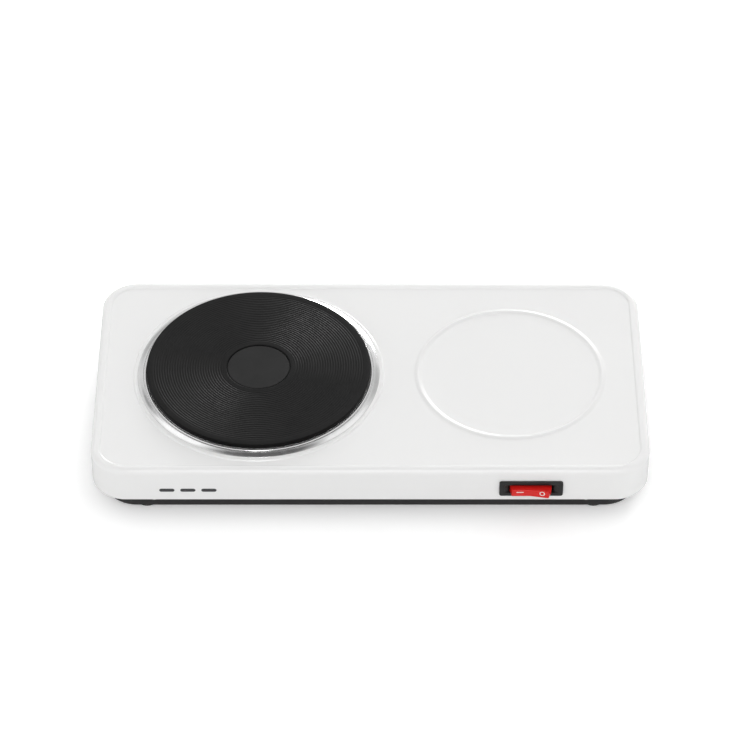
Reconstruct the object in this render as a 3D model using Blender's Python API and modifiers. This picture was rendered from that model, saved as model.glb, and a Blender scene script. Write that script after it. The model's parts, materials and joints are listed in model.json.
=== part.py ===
"""Hot plate burner: an enamelled steel body on a black tray, with one cast-iron plate on the left and
a raised rest ring on the right. Run it with blender --background --python part.py.

Units are metres. +X is the user's right, +Y points to the back, +Z is up, and the origin lies on the
table under the middle of the body. A switch piece is drawn with "out" measured towards the user from
the rocker's pivot.
"""

import math

import bmesh
import bpy
from mathutils import Matrix, Vector

# Body
BODY_WIDTH = 0.440
BODY_DEPTH = 0.222
BODY_CORNER = 0.028
SHEET = 0.0006
GAP = 0.0003
FOOT_HEIGHT = 0.005
TRAY_DROP = 0.0144
SKIRT_HEIGHT = 0.0316
TRAY_BOTTOM = FOOT_HEIGHT
TRAY_FLOOR = TRAY_BOTTOM + SHEET
SKIRT_BOTTOM = TRAY_BOTTOM + TRAY_DROP
RIM_TOP = SKIRT_BOTTOM + SKIRT_HEIGHT
PANEL_DEPTH = 0.001
PANEL_TOP = RIM_TOP - PANEL_DEPTH
EDGE_RADIUS = 0.003
HEM_RADIUS = 0.0012
HEM_WIDTH = 0.012
RIM_WIDTH = 0.0066
RIM_STEP = 0.0012
CORNER_STEPS = 6

# Tray under the body
TRAY_INSET = 0.009
TRAY_CORNER = 0.0265
TRAY_FLANGE_INSET = 0.0022
TRAY_BEND = 0.0008
TRAY_FLOOR_RADIUS = 0.0015
TRAY_TOP = SKIRT_BOTTOM - GAP
SCREW_INSET = 0.0052
SCREW_X = 0.170
FOOT_X = 0.177
FOOT_Y = 0.089
FOOT_RADIUS = 0.010
FOOT_HOLE = 0.0034
VENT_LENGTH = 0.044
VENT_WIDTH = 0.004
VENT_PITCH = 0.013
VENTS_PER_GROUP = 6

# Cast-iron plate and what holds it
PLATE_X = -0.0897
PLATE_Y = 0.0015
PLATE_RADIUS = 0.090
PLATE_RISE = 0.007
PLATE_TOP = RIM_TOP + PLATE_RISE
PLATE_LIP = 0.004
PLATE_BODY_RADIUS = 0.084
PLATE_BOTTOM = 0.045
PLATE_SEGMENTS = 48
CHANNEL_TOP = PLATE_BOTTOM + 0.006
CHANNELS = {"inner": (0.0245, 0.0485), "outer": (0.0545, 0.0775)}
COIL_RADIUS = 0.0024
COIL_Z = PLATE_BOTTOM + 0.0032
SEAT_OUTER = 0.101
SEAT_SLOPE = 0.001
PLATE_HOLE = 0.0862
COLLAR_DROP = 0.0035
RING_OUTER = 0.0975
STUD_RADIUS = 0.004
STUD_TOP = PLATE_BOTTOM + 0.0075
BRIDGE_TOP = 0.036
BRIDGE_THICKNESS = 0.002
BRIDGE_WIDTH = 0.024
COVER_TOP = PLATE_BOTTOM - GAP
PLATE_TERMINAL_Y = 0.048
PLATE_TERMINAL_SPREAD = 0.0085
PLATE_BLADE_BOTTOM = PLATE_BOTTOM - 0.021
PLATE_LEAD_Z = PLATE_BLADE_BOTTOM + 0.005
CUTOUT_Y = -0.045
CUTOUT_SPREAD = 0.005
CUTOUT_LEAD_Z = PLATE_BOTTOM - 0.0153

# Raised rest ring on the right
REST_X = 0.1124
REST_Y = 0.0015
REST_OUTER = 0.0774
REST_WIDTH = 0.0066
REST_RISE = 0.0012

# Rocker switch in the front skirt
SWITCH_X = 0.1262
SWITCH_Z = 0.0331
BEZEL_WIDTH = 0.050
BEZEL_HEIGHT = 0.015
BEZEL_THICKNESS = 0.0015
BEZEL_CORNER = 0.0014
BEZEL_OUT = 0.005
PIVOT_Y = -BODY_DEPTH / 2 - GAP - BEZEL_THICKNESS + BEZEL_OUT
SWITCH_BODY = (0.0388, 0.0132)
SWITCH_CAVITY = (0.0356, 0.0114)
SWITCH_FLOOR_OUT = -0.0135
SWITCH_BACK_OUT = -0.0155
ROCKER_FACE = 0.0288
ROCKER_BASE = 0.0328
ROCKER_HEIGHT = 0.0078
ROCKER_MIDDLE_OUT = 0.0090
ROCKER_TILT = math.radians(5)
PIN_RADIUS = 0.0015
LEVER_OUT = -0.0095
LEVER_TILT = math.radians(8)
TAB = (0.0008, 0.0063)
TAB_END_OUT = -0.024
LOAD_TAB = 0.0085
LAMP_TAB = -0.012
LAMP_SEAT = -0.0115
LAMP_RADIUS = 0.0018

# Mains entry, terminal block and earth stud
GLAND_X = 0.150
GLAND_Z = 0.033
GLAND_BORE = 0.004
GLAND_THREAD = 0.0068
BLOCK_X = 0.150
BLOCK_Y = 0.065
BLOCK_LENGTH = 0.017
POLE_PITCH = 0.010
POLES = {"neutral": -POLE_PITCH, "line": 0.0, "earth": POLE_PITCH}
CLAMP_Z = 0.0138
EARTH_X = 0.178
EARTH_Y = 0.025
LEAD_RADIUS = 0.0014

HALF_DEPTH = BODY_DEPTH / 2
ROUND_X = (math.radians(90), 0, 0)
TO_BACK = (math.radians(-90), 0, 0)


def new_collection(name):
    """A collection in the scene."""
    made = bpy.data.collections.new(name)
    bpy.context.scene.collection.children.link(made)
    return made


def finish(name, colour, roughness, metallic=0.0):
    """A plain Principled BSDF finish, made once for each name."""
    if name in bpy.data.materials:
        return bpy.data.materials[name]
    material = bpy.data.materials.new(name)
    material.use_nodes = True
    shader = material.node_tree.nodes["Principled BSDF"]
    shader.inputs["Base Color"].default_value = (*colour, 1.0)
    shader.inputs["Roughness"].default_value = roughness
    shader.inputs["Metallic"].default_value = metallic
    material.diffuse_color = (*colour, 1.0)
    return material


def enamel():
    """White baked enamel of the body."""
    return finish("white_enamel", (0.86, 0.86, 0.86), 0.25)


def black_paint():
    """Black painted steel of the tray."""
    return finish("black_paint", (0.03, 0.03, 0.03), 0.45)


def cast_iron():
    """Coated cast iron."""
    return finish("cast_iron", (0.025, 0.025, 0.025), 0.55, 0.3)


def stainless():
    """Bright stainless steel of the spill ring."""
    return finish("stainless", (0.75, 0.75, 0.75), 0.18, 1.0)


def zinc_steel():
    """Zinc-plated steel of the hidden brackets and fasteners."""
    return finish("zinc_steel", (0.6, 0.6, 0.58), 0.4, 1.0)


def brass():
    """Brass of the electrical terminals."""
    return finish("brass", (0.72, 0.5, 0.2), 0.3, 1.0)


def ceramic():
    """Off-white steatite insulators."""
    return finish("ceramic", (0.8, 0.77, 0.7), 0.6)


def rubber():
    """Black rubber of the feet."""
    return finish("rubber", (0.015, 0.015, 0.015), 0.8)


def black_plastic():
    """Black moulded nylon."""
    return finish("black_plastic", (0.02, 0.02, 0.02), 0.4)


def place(name, data, material, centre=(0, 0, 0), turn=(0, 0, 0), parent=None):
    """Adds an object of that mesh or curve to the parts."""
    made = bpy.data.objects.new(name, data)
    made.location = centre
    made.rotation_euler = turn
    made.parent = parent
    if material:
        data.materials.append(material)
    PARTS.objects.link(made)
    return made


def smooth(piece, degrees=35):
    """Smooth shading, with the edges sharper than that kept crisp."""
    piece.data.shade_smooth()
    piece.data.set_sharp_from_angle(angle=math.radians(degrees))
    return piece


def block(name, size, centre, material, bevel=0.0):
    """A box of that size, with its edges bevelled."""
    shape = bmesh.new()
    bmesh.ops.create_cube(shape, size=1.0, matrix=Matrix.Diagonal((*size, 1.0)))
    mesh = bpy.data.meshes.new(name)
    shape.to_mesh(mesh)
    shape.free()
    piece = place(name, mesh, material, centre)
    if bevel:
        rounding = piece.modifiers.new("rounded_edges", "BEVEL")
        rounding.width = bevel
        rounding.segments = 1
    return piece


def rod(name, radius, length, centre, material, segments=16, turn=(0, 0, 0), parent=None):
    """A cylinder along local Z, centred on its place."""
    shape = bmesh.new()
    bmesh.ops.create_cone(
        shape, cap_ends=True, segments=segments, radius1=radius, radius2=radius, depth=length
    )
    mesh = bpy.data.meshes.new(name)
    shape.to_mesh(mesh)
    shape.free()
    return smooth(place(name, mesh, material, centre, turn, parent))


def turned(name, profile, material, segments, centre=(0, 0, 0), turn=(0, 0, 0), ring=False, parent=None):
    """A profile of (radius, height) points, run down its outer side, turned about local Z.

    A ring's profile closes on itself; any other starts and ends on the axis.
    """
    mesh = bpy.data.meshes.new(name)
    count = len(profile)
    edges = [(i, i + 1) for i in range(count - 1)]
    if ring:
        edges.append((count - 1, 0))
    mesh.from_pydata([(radius, 0, height) for radius, height in profile], edges, [])
    piece = place(name, mesh, material, centre, turn, parent)
    screw = piece.modifiers.new("turned", "SCREW")
    screw.axis = "Z"
    screw.angle = 2 * math.pi
    screw.steps = segments
    screw.render_steps = segments
    screw.use_merge_vertices = True
    screw.merge_threshold = 0.00001
    screw.use_smooth_shade = True
    return piece


def outline_curve(name, outlines, thickness, material, centre=(0, 0, 0), turn=(0, 0, 0), parent=None):
    """A flat outline in local XY, with any holes, thickened about its own plane."""
    curve = bpy.data.curves.new(name, "CURVE")
    curve.dimensions = "2D"
    curve.fill_mode = "BOTH"
    curve.extrude = thickness / 2
    for outline in outlines:
        spline = curve.splines.new("POLY")
        spline.points.add(len(outline) - 1)
        for point, (x, y) in zip(spline.points, outline):
            point.co = (x, y, 0, 1)
        spline.use_cyclic_u = True
    return place(name, curve, material, centre, turn, parent)


def as_mesh(piece):
    """The same piece as a welded mesh, so that it can be cut, joined or bevelled."""
    bpy.context.view_layer.update()
    graph = bpy.context.evaluated_depsgraph_get()
    mesh = bpy.data.meshes.new_from_object(piece.evaluated_get(graph))
    shape = bmesh.new()
    shape.from_mesh(mesh)
    bmesh.ops.remove_doubles(shape, verts=shape.verts, dist=0.000001)
    shape.to_mesh(mesh)
    shape.free()
    name, parent, place_of_it = piece.name, piece.parent, piece.matrix_world.copy()
    bpy.data.objects.remove(piece)
    made = bpy.data.objects.new(name, mesh)
    made.parent = parent
    PARTS.objects.link(made)
    made.matrix_world = place_of_it
    return made


def boolean(piece, tools, operation="DIFFERENCE"):
    """Cuts the tools from the piece, or joins them to it, and hides them."""
    for tool in tools:
        PARTS.objects.unlink(tool)
        TOOLS.objects.link(tool)
        tool.hide_render = True
        tool.display_type = "WIRE"
        change = piece.modifiers.new(tool.name, "BOOLEAN")
        change.operation = operation
        change.solver = "EXACT"
        change.object = tool
    return piece


def circle_points(radius, segments, centre=(0, 0)):
    """Points of a circle, anticlockwise."""
    turns = [2 * math.pi * k / segments for k in range(segments)]
    return [(centre[0] + radius * math.cos(a), centre[1] + radius * math.sin(a)) for a in turns]


def rounded_rectangle(width, depth, corner, steps):
    """Points of a rectangle with round corners about the origin, anticlockwise."""
    points = []
    for quarter, (side_x, side_y) in enumerate(((1, 1), (-1, 1), (-1, -1), (1, -1))):
        for step in range(steps + 1):
            angle = math.pi / 2 * (quarter + step / steps)
            x = side_x * (width / 2 - corner) + corner * math.cos(angle)
            y = side_y * (depth / 2 - corner) + corner * math.sin(angle)
            points.append((x, y))
    return points


def hexagon(across_flats):
    """Points of a hexagon of that width across its flats."""
    return circle_points(across_flats / math.sqrt(3), 6)


def capsule(length, width, steps=4):
    """Points of a slot with round ends along X."""
    half, radius = (length - width) / 2, width / 2
    right = [(-math.pi / 2 + math.pi * k / steps) for k in range(steps + 1)]
    points = [(half + radius * math.cos(a), radius * math.sin(a)) for a in right]
    return points + [(-x, -y) for x, y in points]


def body_loop(shape, inset, height, corner=None):
    """A loop of vertices along the body's outline, moved in by the inset."""
    outline = rounded_rectangle(
        BODY_WIDTH - 2 * inset, BODY_DEPTH - 2 * inset, corner or BODY_CORNER - inset, CORNER_STEPS
    )
    return [shape.verts.new((x, y, height)) for x, y in outline]


def round_loop(shape, radius, height, centre):
    """A loop of vertices round a circle."""
    return [shape.verts.new((x, y, height)) for x, y in circle_points(radius, PLATE_SEGMENTS, centre)]


def join_loops(shape, loops):
    """Skins each loop to the next one with four-sided faces."""
    for low, high in zip(loops, loops[1:]):
        for i in range(len(low)):
            k = (i + 1) % len(low)
            shape.faces.new((low[i], low[k], high[k], high[i]))


def loop_edges(shape, loop):
    """The edges along a closed loop of vertices."""
    pairs = zip(loop, loop[1:] + loop[:1])
    return [shape.edges.get(pair) or shape.edges.new(pair) for pair in pairs]


def fill_flat(shape, loops, upwards):
    """Fills the flat area between the loops, the first one outside."""
    edges = [edge for loop in loops for edge in loop_edges(shape, loop)]
    made = bmesh.ops.triangle_fill(shape, use_beauty=True, edges=edges)
    faces = [item for item in made["geom"] if isinstance(item, bmesh.types.BMFace)]
    for face in faces:
        face.normal_update()
        if (face.normal.z > 0) != upwards:
            face.normal_flip()


def pressed_sheet(name, shape, material):
    """The open surface as sheet metal, thickened towards its inner side."""
    mesh = bpy.data.meshes.new(name)
    shape.to_mesh(mesh)
    shape.free()
    piece = smooth(place(name, mesh, material))
    thickness = piece.modifiers.new("sheet", "SOLIDIFY")
    thickness.thickness = SHEET
    thickness.offset = -1.0
    thickness.use_even_offset = True
    return piece


def screw_places():
    """Where the screws hold the tray to the body's hem."""
    y = HALF_DEPTH - SCREW_INSET
    return [(x, side * y) for side in (-1, 1) for x in (-SCREW_X, SCREW_X)]


def foot_places():
    """Where the four feet stand, by name."""
    return {
        "front_left": (-FOOT_X, -FOOT_Y),
        "front_right": (FOOT_X, -FOOT_Y),
        "rear_left": (-FOOT_X, FOOT_Y),
        "rear_right": (FOOT_X, FOOT_Y),
    }


def make_housing():
    """The pressed steel body: hem, skirt, rim, sunk panel, plate seat and rest ring in one sheet."""
    shape = bmesh.new()
    sections = [
        (HEM_WIDTH, SKIRT_BOTTOM),
        (HEM_RADIUS, SKIRT_BOTTOM),
        (0.0, SKIRT_BOTTOM + HEM_RADIUS),
        (0.0, RIM_TOP - EDGE_RADIUS),
    ]
    for angle in (math.radians(30), math.radians(60), math.radians(90)):
        rise = EDGE_RADIUS * math.sin(angle)
        sections.append((EDGE_RADIUS * (1 - math.cos(angle)), RIM_TOP - EDGE_RADIUS + rise))
    sections.append((RIM_WIDTH, RIM_TOP))
    sections.append((RIM_WIDTH + RIM_STEP, PANEL_TOP))
    outer = [body_loop(shape, inset, height) for inset, height in sections]
    join_loops(shape, outer)

    plate = (PLATE_X, PLATE_Y)
    seat = [
        round_loop(shape, SEAT_OUTER, PANEL_TOP, plate),
        round_loop(shape, SEAT_OUTER - SEAT_SLOPE, RIM_TOP, plate),
        round_loop(shape, PLATE_HOLE + SHEET, RIM_TOP, plate),
        round_loop(shape, PLATE_HOLE, RIM_TOP - SHEET, plate),
        round_loop(shape, PLATE_HOLE, RIM_TOP - COLLAR_DROP, plate),
    ]
    join_loops(shape, seat)

    rest = []
    for share in (0.0, 0.25, 0.5, 0.75, 1.0):
        height = PANEL_TOP + REST_RISE * 0.5 * (1 - math.cos(2 * math.pi * share))
        rest.append(round_loop(shape, REST_OUTER - share * REST_WIDTH, height, (REST_X, REST_Y)))
    join_loops(shape, rest)
    fill_flat(shape, [rest[-1]], upwards=True)
    fill_flat(shape, [outer[-1], seat[0], rest[0]], upwards=True)
    housing = pressed_sheet("housing", shape, enamel())

    cutters = [
        block(
            "switch_cutter", (SWITCH_BODY[0] + 0.0014, 0.006, SWITCH_BODY[1] + 0.0006),
            (SWITCH_X, -HALF_DEPTH, SWITCH_Z), None,
        ),
        rod(
            "gland_cutter", GLAND_THREAD + GAP, 0.006, (GLAND_X, HALF_DEPTH, GLAND_Z), None,
            segments=24, turn=ROUND_X,
        ),
    ]
    for number, (x, y) in enumerate(screw_places(), 1):
        cutters.append(rod(f"hem_cutter_{number}", 0.0018, 0.004, (x, y, SKIRT_BOTTOM), None, segments=12))
    return boolean(housing, cutters)


def make_tray():
    """The black tray that closes the body from below, with its vent slots."""
    shape = bmesh.new()
    underside, bend, foot = TRAY_TOP - SHEET, TRAY_BEND, TRAY_FLOOR_RADIUS
    sections = [
        (TRAY_FLANGE_INSET, underside, BODY_CORNER - TRAY_FLANGE_INSET),
        (TRAY_INSET - bend, underside, TRAY_CORNER + bend),
        (TRAY_INSET, underside - bend, TRAY_CORNER),
        (TRAY_INSET, TRAY_BOTTOM + foot, TRAY_CORNER),
        (TRAY_INSET + 0.3 * foot, TRAY_BOTTOM + 0.3 * foot, TRAY_CORNER - 0.3 * foot),
        (TRAY_INSET + foot, TRAY_BOTTOM, TRAY_CORNER - foot),
    ]
    loops = [body_loop(shape, *section) for section in sections]
    join_loops(shape, loops)
    for face in shape.faces:
        face.normal_flip()
    fill_flat(shape, [loops[-1]], upwards=False)
    tray = pressed_sheet("base_tray", shape, black_paint())

    cutters = []
    for name, (x, y) in foot_places().items():
        cutters.append(rod(f"hole_{name}", FOOT_HOLE, 0.004, (x, y, TRAY_BOTTOM), None, segments=16))
    for number, (x, y) in enumerate(screw_places(), 1):
        cutters.append(rod(f"flange_hole_{number}", 0.0021, 0.004, (x, y, TRAY_TOP), None, segments=12))
    for group, middle in (("left", PLATE_X), ("right", 0.075)):
        for slot in range(VENTS_PER_GROUP):
            y = (slot - (VENTS_PER_GROUP - 1) / 2) * VENT_PITCH
            vent = outline_curve(
                f"vent_{group}_{slot}", [capsule(VENT_LENGTH, VENT_WIDTH)], 0.004, None,
                (middle, y, TRAY_BOTTOM),
            )
            cutters.append(as_mesh(vent))
    return boolean(tray, cutters)


def make_feet():
    """Four rubber feet, each with a stem that snaps through the tray."""
    top = TRAY_BOTTOM - GAP
    barb = TRAY_FLOOR + GAP
    profile = [
        (0.0, barb + 0.0022),
        (0.0022, barb + 0.0022),
        (0.0042, barb),
        (FOOT_HOLE - GAP, barb),
        (FOOT_HOLE - GAP, top),
        (FOOT_RADIUS, top),
        (FOOT_RADIUS, 0.0008),
        (FOOT_RADIUS - 0.0008, 0.0),
        (0.0, 0.0),
    ]
    for name, (x, y) in foot_places().items():
        turned(f"foot_{name}", profile, rubber(), 24, (x, y, 0))


def make_tray_screws():
    """Self-tapping screws up through the tray's flange into the hem."""
    seat = TRAY_TOP - SHEET - GAP
    profile = [
        (0.0, seat + 0.0062),
        (0.0008, seat + 0.0062),
        (0.0015, seat + 0.0050),
        (0.0015, seat),
        (0.0028, seat),
        (0.0025, seat - 0.0014),
        (0.0014, seat - 0.0018),
        (0.0, seat - 0.0018),
    ]
    for number, (x, y) in enumerate(screw_places(), 1):
        turned(f"tray_screw_{number}", profile, zinc_steel(), 12, (x, y, 0))


def make_hotplate():
    """The cast-iron plate: a ground top with a sunk middle, and channels for the coils below."""
    top = PLATE_TOP
    inner, outer = CHANNELS["inner"], CHANNELS["outer"]
    profile = [
        (0.0, top - 0.0012),
        (0.0250, top - 0.0012),
        (0.0256, top),
        (PLATE_RADIUS - 0.0007, top),
        (PLATE_RADIUS, top - 0.0007),
        (PLATE_RADIUS, top - PLATE_LIP),
        (0.0884, top - PLATE_LIP - 0.0002),
        (0.0884, top - 0.0054),
        (PLATE_BODY_RADIUS, top - 0.0060),
        (PLATE_BODY_RADIUS, PLATE_BOTTOM),
        (outer[1], PLATE_BOTTOM),
        (outer[1], CHANNEL_TOP),
        (outer[0], CHANNEL_TOP),
        (outer[0], PLATE_BOTTOM),
        (inner[1], PLATE_BOTTOM),
        (inner[1], CHANNEL_TOP),
        (inner[0], CHANNEL_TOP),
        (inner[0], PLATE_BOTTOM),
        (STUD_RADIUS + GAP, PLATE_BOTTOM),
        (STUD_RADIUS + GAP, STUD_TOP + GAP),
        (0.0, STUD_TOP + GAP),
    ]
    turned("hotplate", profile, cast_iron(), PLATE_SEGMENTS, (PLATE_X, PLATE_Y, 0))


def make_spill_ring():
    """The stainless trim ring between the plate and its seat: a flat lip, then a sloping band."""
    edge = RIM_TOP + GAP
    lip = PLATE_TOP - PLATE_LIP - 0.0005
    profile = [
        (0.0887, lip),
        (0.0917, lip - 0.0001),
        (0.0922, lip - 0.0008),
        (0.0946, lip - 0.0012),
        (0.0965, lip - 0.0018),
        (RING_OUTER, edge),
        (RING_OUTER - 0.0008, edge),
        (0.0944, edge + 0.0004),
        (0.0915, edge + 0.0008),
        (0.0911, lip - 0.0007),
        (0.0887, lip - 0.0006),
    ]
    turned("spill_ring", profile, stainless(), PLATE_SEGMENTS, (PLATE_X, PLATE_Y, 0), ring=True)


def make_coils():
    """Two resistance coils in the plate's channels, each closed in by cement from below."""
    for name, (near, far) in CHANNELS.items():
        middle = (near + far) / 2
        turns = [-2 * math.pi * k / 8 for k in range(8)]
        ring = [(middle + COIL_RADIUS * math.cos(a), COIL_Z + COIL_RADIUS * math.sin(a)) for a in turns]
        turned(
            f"coil_{name}", ring, finish("nichrome", (0.35, 0.33, 0.3), 0.5, 1.0), 32,
            (PLATE_X, PLATE_Y, 0), ring=True,
        )
        notch = COIL_RADIUS + GAP
        top, bottom = CHANNEL_TOP - GAP, PLATE_BOTTOM + GAP
        half_round = [(middle - notch * math.cos(a), COIL_Z - notch * math.sin(a))
                      for a in (math.pi * k / 4 for k in range(5))]
        profile = [(far - GAP, top), (far - GAP, bottom), (near + GAP, bottom), (near + GAP, top)]
        profile += [(middle - notch, top), *half_round, (middle + notch, top)]
        turned(
            f"coil_cement_{name}", profile, ceramic(), 32, (PLATE_X, PLATE_Y, 0), ring=True,
        )


def make_plate_cover():
    """The sheet disc that closes the plate's underside."""
    rim, bore = 0.0815, STUD_RADIUS + 0.001
    low = COVER_TOP - SHEET
    profile = [
        (bore, COVER_TOP),
        (rim, COVER_TOP),
        (rim, low - 0.002),
        (rim - SHEET, low - 0.002),
        (rim - SHEET, low),
        (bore, low),
    ]
    turned("plate_cover", profile, zinc_steel(), 40, (PLATE_X, PLATE_Y, 0), ring=True)


def make_plate_terminals():
    """The ceramic block under the cover and the two blades that feed the coils."""
    top = COVER_TOP - SHEET - GAP
    height = 0.009
    body = block(
        "plate_terminal_block", (0.034, 0.016, height), (PLATE_X, PLATE_TERMINAL_Y, top - height / 2),
        ceramic(), bevel=0.001,
    )
    slots = []
    for name, side in (("line", -1), ("neutral", 1)):
        x = PLATE_X + side * PLATE_TERMINAL_SPREAD
        slots.append(
            block(
                f"slot_{name}", (TAB[0] + 2 * GAP, TAB[1] + 2 * GAP, 0.02),
                (x, PLATE_TERMINAL_Y, top - height / 2), None,
            )
        )
        blade_top = top - 0.0005
        block(
            f"plate_blade_{name}", (TAB[0], TAB[1], blade_top - PLATE_BLADE_BOTTOM),
            (x, PLATE_TERMINAL_Y, (blade_top + PLATE_BLADE_BOTTOM) / 2), brass(),
        )
    boolean(body, slots)


def make_thermal_cutout():
    """The bimetal cut-out under the cover, with its two blades."""
    top = COVER_TOP - SHEET - GAP
    bottom = top - 0.009
    profile = [
        (0.0, top),
        (0.0110, top),
        (0.0110, top - 0.0012),
        (0.0080, top - 0.0012),
        (0.0080, bottom + 0.0006),
        (0.0074, bottom),
        (0.0, bottom),
    ]
    turned("thermal_cutout", profile, black_plastic(), 24, (PLATE_X, CUTOUT_Y, 0))
    for name, side in (("in", 1), ("out", -1)):
        block(
            f"cutout_blade_{name}", (TAB[0], TAB[1], 0.008),
            (PLATE_X + side * CUTOUT_SPREAD, CUTOUT_Y, bottom - GAP - 0.004), brass(),
        )


def make_clamp():
    """The stud, bridge, washer and nut that pull the plate down onto its seat."""
    foot_top = RIM_TOP - SHEET - GAP
    foot_bottom = foot_top - BRIDGE_THICKNESS
    low = BRIDGE_TOP - BRIDGE_THICKNESS
    leg, toe = 0.093, 0.0985
    half = [
        (leg, low),
        (leg, foot_bottom),
        (toe, foot_bottom),
        (toe, foot_top),
        (leg - BRIDGE_THICKNESS, foot_top),
        (leg - BRIDGE_THICKNESS, BRIDGE_TOP),
    ]
    outline = half + [(-x, z) for x, z in reversed(half)]
    bridge = as_mesh(
        outline_curve(
            "clamp_bridge", [outline], BRIDGE_WIDTH, zinc_steel(), (PLATE_X, PLATE_Y, 0), ROUND_X
        )
    )
    hole = rod("bridge_hole", STUD_RADIUS + GAP, 0.01, (PLATE_X, PLATE_Y, low), None, segments=20)
    boolean(bridge, [hole])
    stud_bottom = low - 0.0105
    stud = [
        (0.0, STUD_TOP),
        (STUD_RADIUS, STUD_TOP),
        (STUD_RADIUS, stud_bottom + 0.0008),
        (STUD_RADIUS - 0.0008, stud_bottom),
        (0.0, stud_bottom),
    ]
    turned("clamp_stud", stud, zinc_steel(), 16, (PLATE_X, PLATE_Y, 0))
    bore = circle_points(STUD_RADIUS + GAP, 20)
    washer_thickness, nut_height = 0.0016, 0.0065
    washer_z = low - GAP - washer_thickness / 2
    nut_z = washer_z - washer_thickness / 2 - GAP - nut_height / 2
    outline_curve(
        "clamp_washer", [circle_points(0.009, 24), bore], washer_thickness, zinc_steel(),
        (PLATE_X, PLATE_Y, washer_z),
    )
    outline_curve(
        "clamp_nut", [hexagon(0.013), bore], nut_height, zinc_steel(), (PLATE_X, PLATE_Y, nut_z)
    )


def make_heat_shield():
    """The bright sheet that keeps the plate's heat off the tray and the wires."""
    half, top, low = 0.085, 0.0148, TRAY_FLOOR + GAP
    toe = 0.008
    side = [
        (half, top),
        (half, low + SHEET),
        (half + toe, low + SHEET),
        (half + toe, low),
        (half - SHEET, low),
        (half - SHEET, top - SHEET),
    ]
    outline = [(-x, z) for x, z in side] + side[::-1]
    outline_curve(
        "heat_shield", [outline], 0.150, finish("aluminised", (0.8, 0.8, 0.8), 0.3, 1.0),
        (PLATE_X, PLATE_Y, 0), ROUND_X,
    )


def switch_point(along, out, height=0.0):
    """A place in the switch: along the rocker, out from its pivot towards the user, and up."""
    return (SWITCH_X + along, PIVOT_Y - out, SWITCH_Z + height)


def rocker_outline():
    """The rocker seen from above, in the axes (along, out), level."""
    face, base = ROCKER_FACE / 2, ROCKER_BASE / 2
    end = ROCKER_MIDDLE_OUT + face * math.tan(ROCKER_TILT)
    side = [
        (face, end),
        (base, 0.0045),
        (base - 0.0006, -0.001),
        (0.010, -0.003),
        (0.0032, -0.003),
        (0.0032, -0.0055),
    ]
    return [(0.0, ROCKER_MIDDLE_OUT)] + side + [(-x, out) for x, out in reversed(side)]


def rocker_reach():
    """How far the tilted rocker stands out of the skirt."""
    half = ROCKER_FACE / 2
    end = ROCKER_MIDDLE_OUT + half * math.tan(ROCKER_TILT)
    tip = end * math.cos(ROCKER_TILT) + half * math.sin(ROCKER_TILT)
    return tip - PIVOT_Y - HALF_DEPTH


def make_switch_housing():
    """The black switch body with its bezel, open to the front."""
    outline = rounded_rectangle(BEZEL_WIDTH, BEZEL_HEIGHT, BEZEL_CORNER, 3)
    middle = BEZEL_OUT - BEZEL_THICKNESS / 2
    bezel = as_mesh(
        outline_curve(
            "switch_housing", [outline], BEZEL_THICKNESS, black_plastic(), switch_point(0, middle), ROUND_X
        )
    )
    body_front, cavity_front = middle, BEZEL_OUT + 0.002
    body = block(
        "switch_body", (SWITCH_BODY[0], body_front - SWITCH_BACK_OUT, SWITCH_BODY[1]),
        switch_point(0, (body_front + SWITCH_BACK_OUT) / 2), None,
    )
    boolean(bezel, [body], "UNION")
    cavity = block(
        "switch_cavity", (SWITCH_CAVITY[0], cavity_front - SWITCH_FLOOR_OUT, SWITCH_CAVITY[1]),
        switch_point(0, (cavity_front + SWITCH_FLOOR_OUT) / 2), None,
    )
    pin_hole = rod("pin_hole", PIN_RADIUS + GAP, 0.02, switch_point(0, 0), None, segments=16)
    cutters = [cavity, pin_hole]
    for name, along in (("line", 0.0), ("load", LOAD_TAB), ("lamp", LAMP_TAB)):
        size = (TAB[0] + 2 * GAP, 0.006, TAB[1] + 2 * GAP)
        cutters.append(block(f"tab_slot_{name}", size, switch_point(along, -0.0145), None))
    return boolean(bezel, cutters)


def make_rocker(pivot):
    """The red rocker with its two pins, the plunger in its post and the spring behind it."""
    red = finish("red_rocker", (0.55, 0.02, 0.015), 0.25)
    outline = [(along, -out) for along, out in rocker_outline()]
    rocker = as_mesh(outline_curve("switch_rocker", [outline], ROCKER_HEIGHT, red, parent=pivot))
    pin_length = SWITCH_CAVITY[1] + 0.001
    pins = rod("rocker_pins", PIN_RADIUS, pin_length, (0, 0, 0), None, segments=12, parent=pivot)
    boolean(rocker, [pins], "UNION")
    bore = rod(
        "post_bore", 0.0019, 0.0085, (0, 0.00175, 0), None, segments=12, turn=ROUND_X, parent=pivot
    )
    boolean(rocker, [bore])
    plunger = [
        (0.0, 0.0080),
        (0.0009, 0.0077),
        (0.0016, 0.0068),
        (0.0016, 0.0026),
        (0.0, 0.0026),
    ]
    turned("rocker_plunger", plunger, zinc_steel(), 12, turn=TO_BACK, parent=pivot)
    turns, low, high, coil_radius = 4, -0.0020, 0.0019, 0.0011
    steps = turns * 8
    points = []
    for k in range(steps + 1):
        angle = 2 * math.pi * k / 8
        along = low + (high - low) * k / steps
        points.append((coil_radius * math.cos(angle), along, coil_radius * math.sin(angle)))
    tube("plunger_spring", points, 0.0002, zinc_steel(), parent=pivot)


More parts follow.
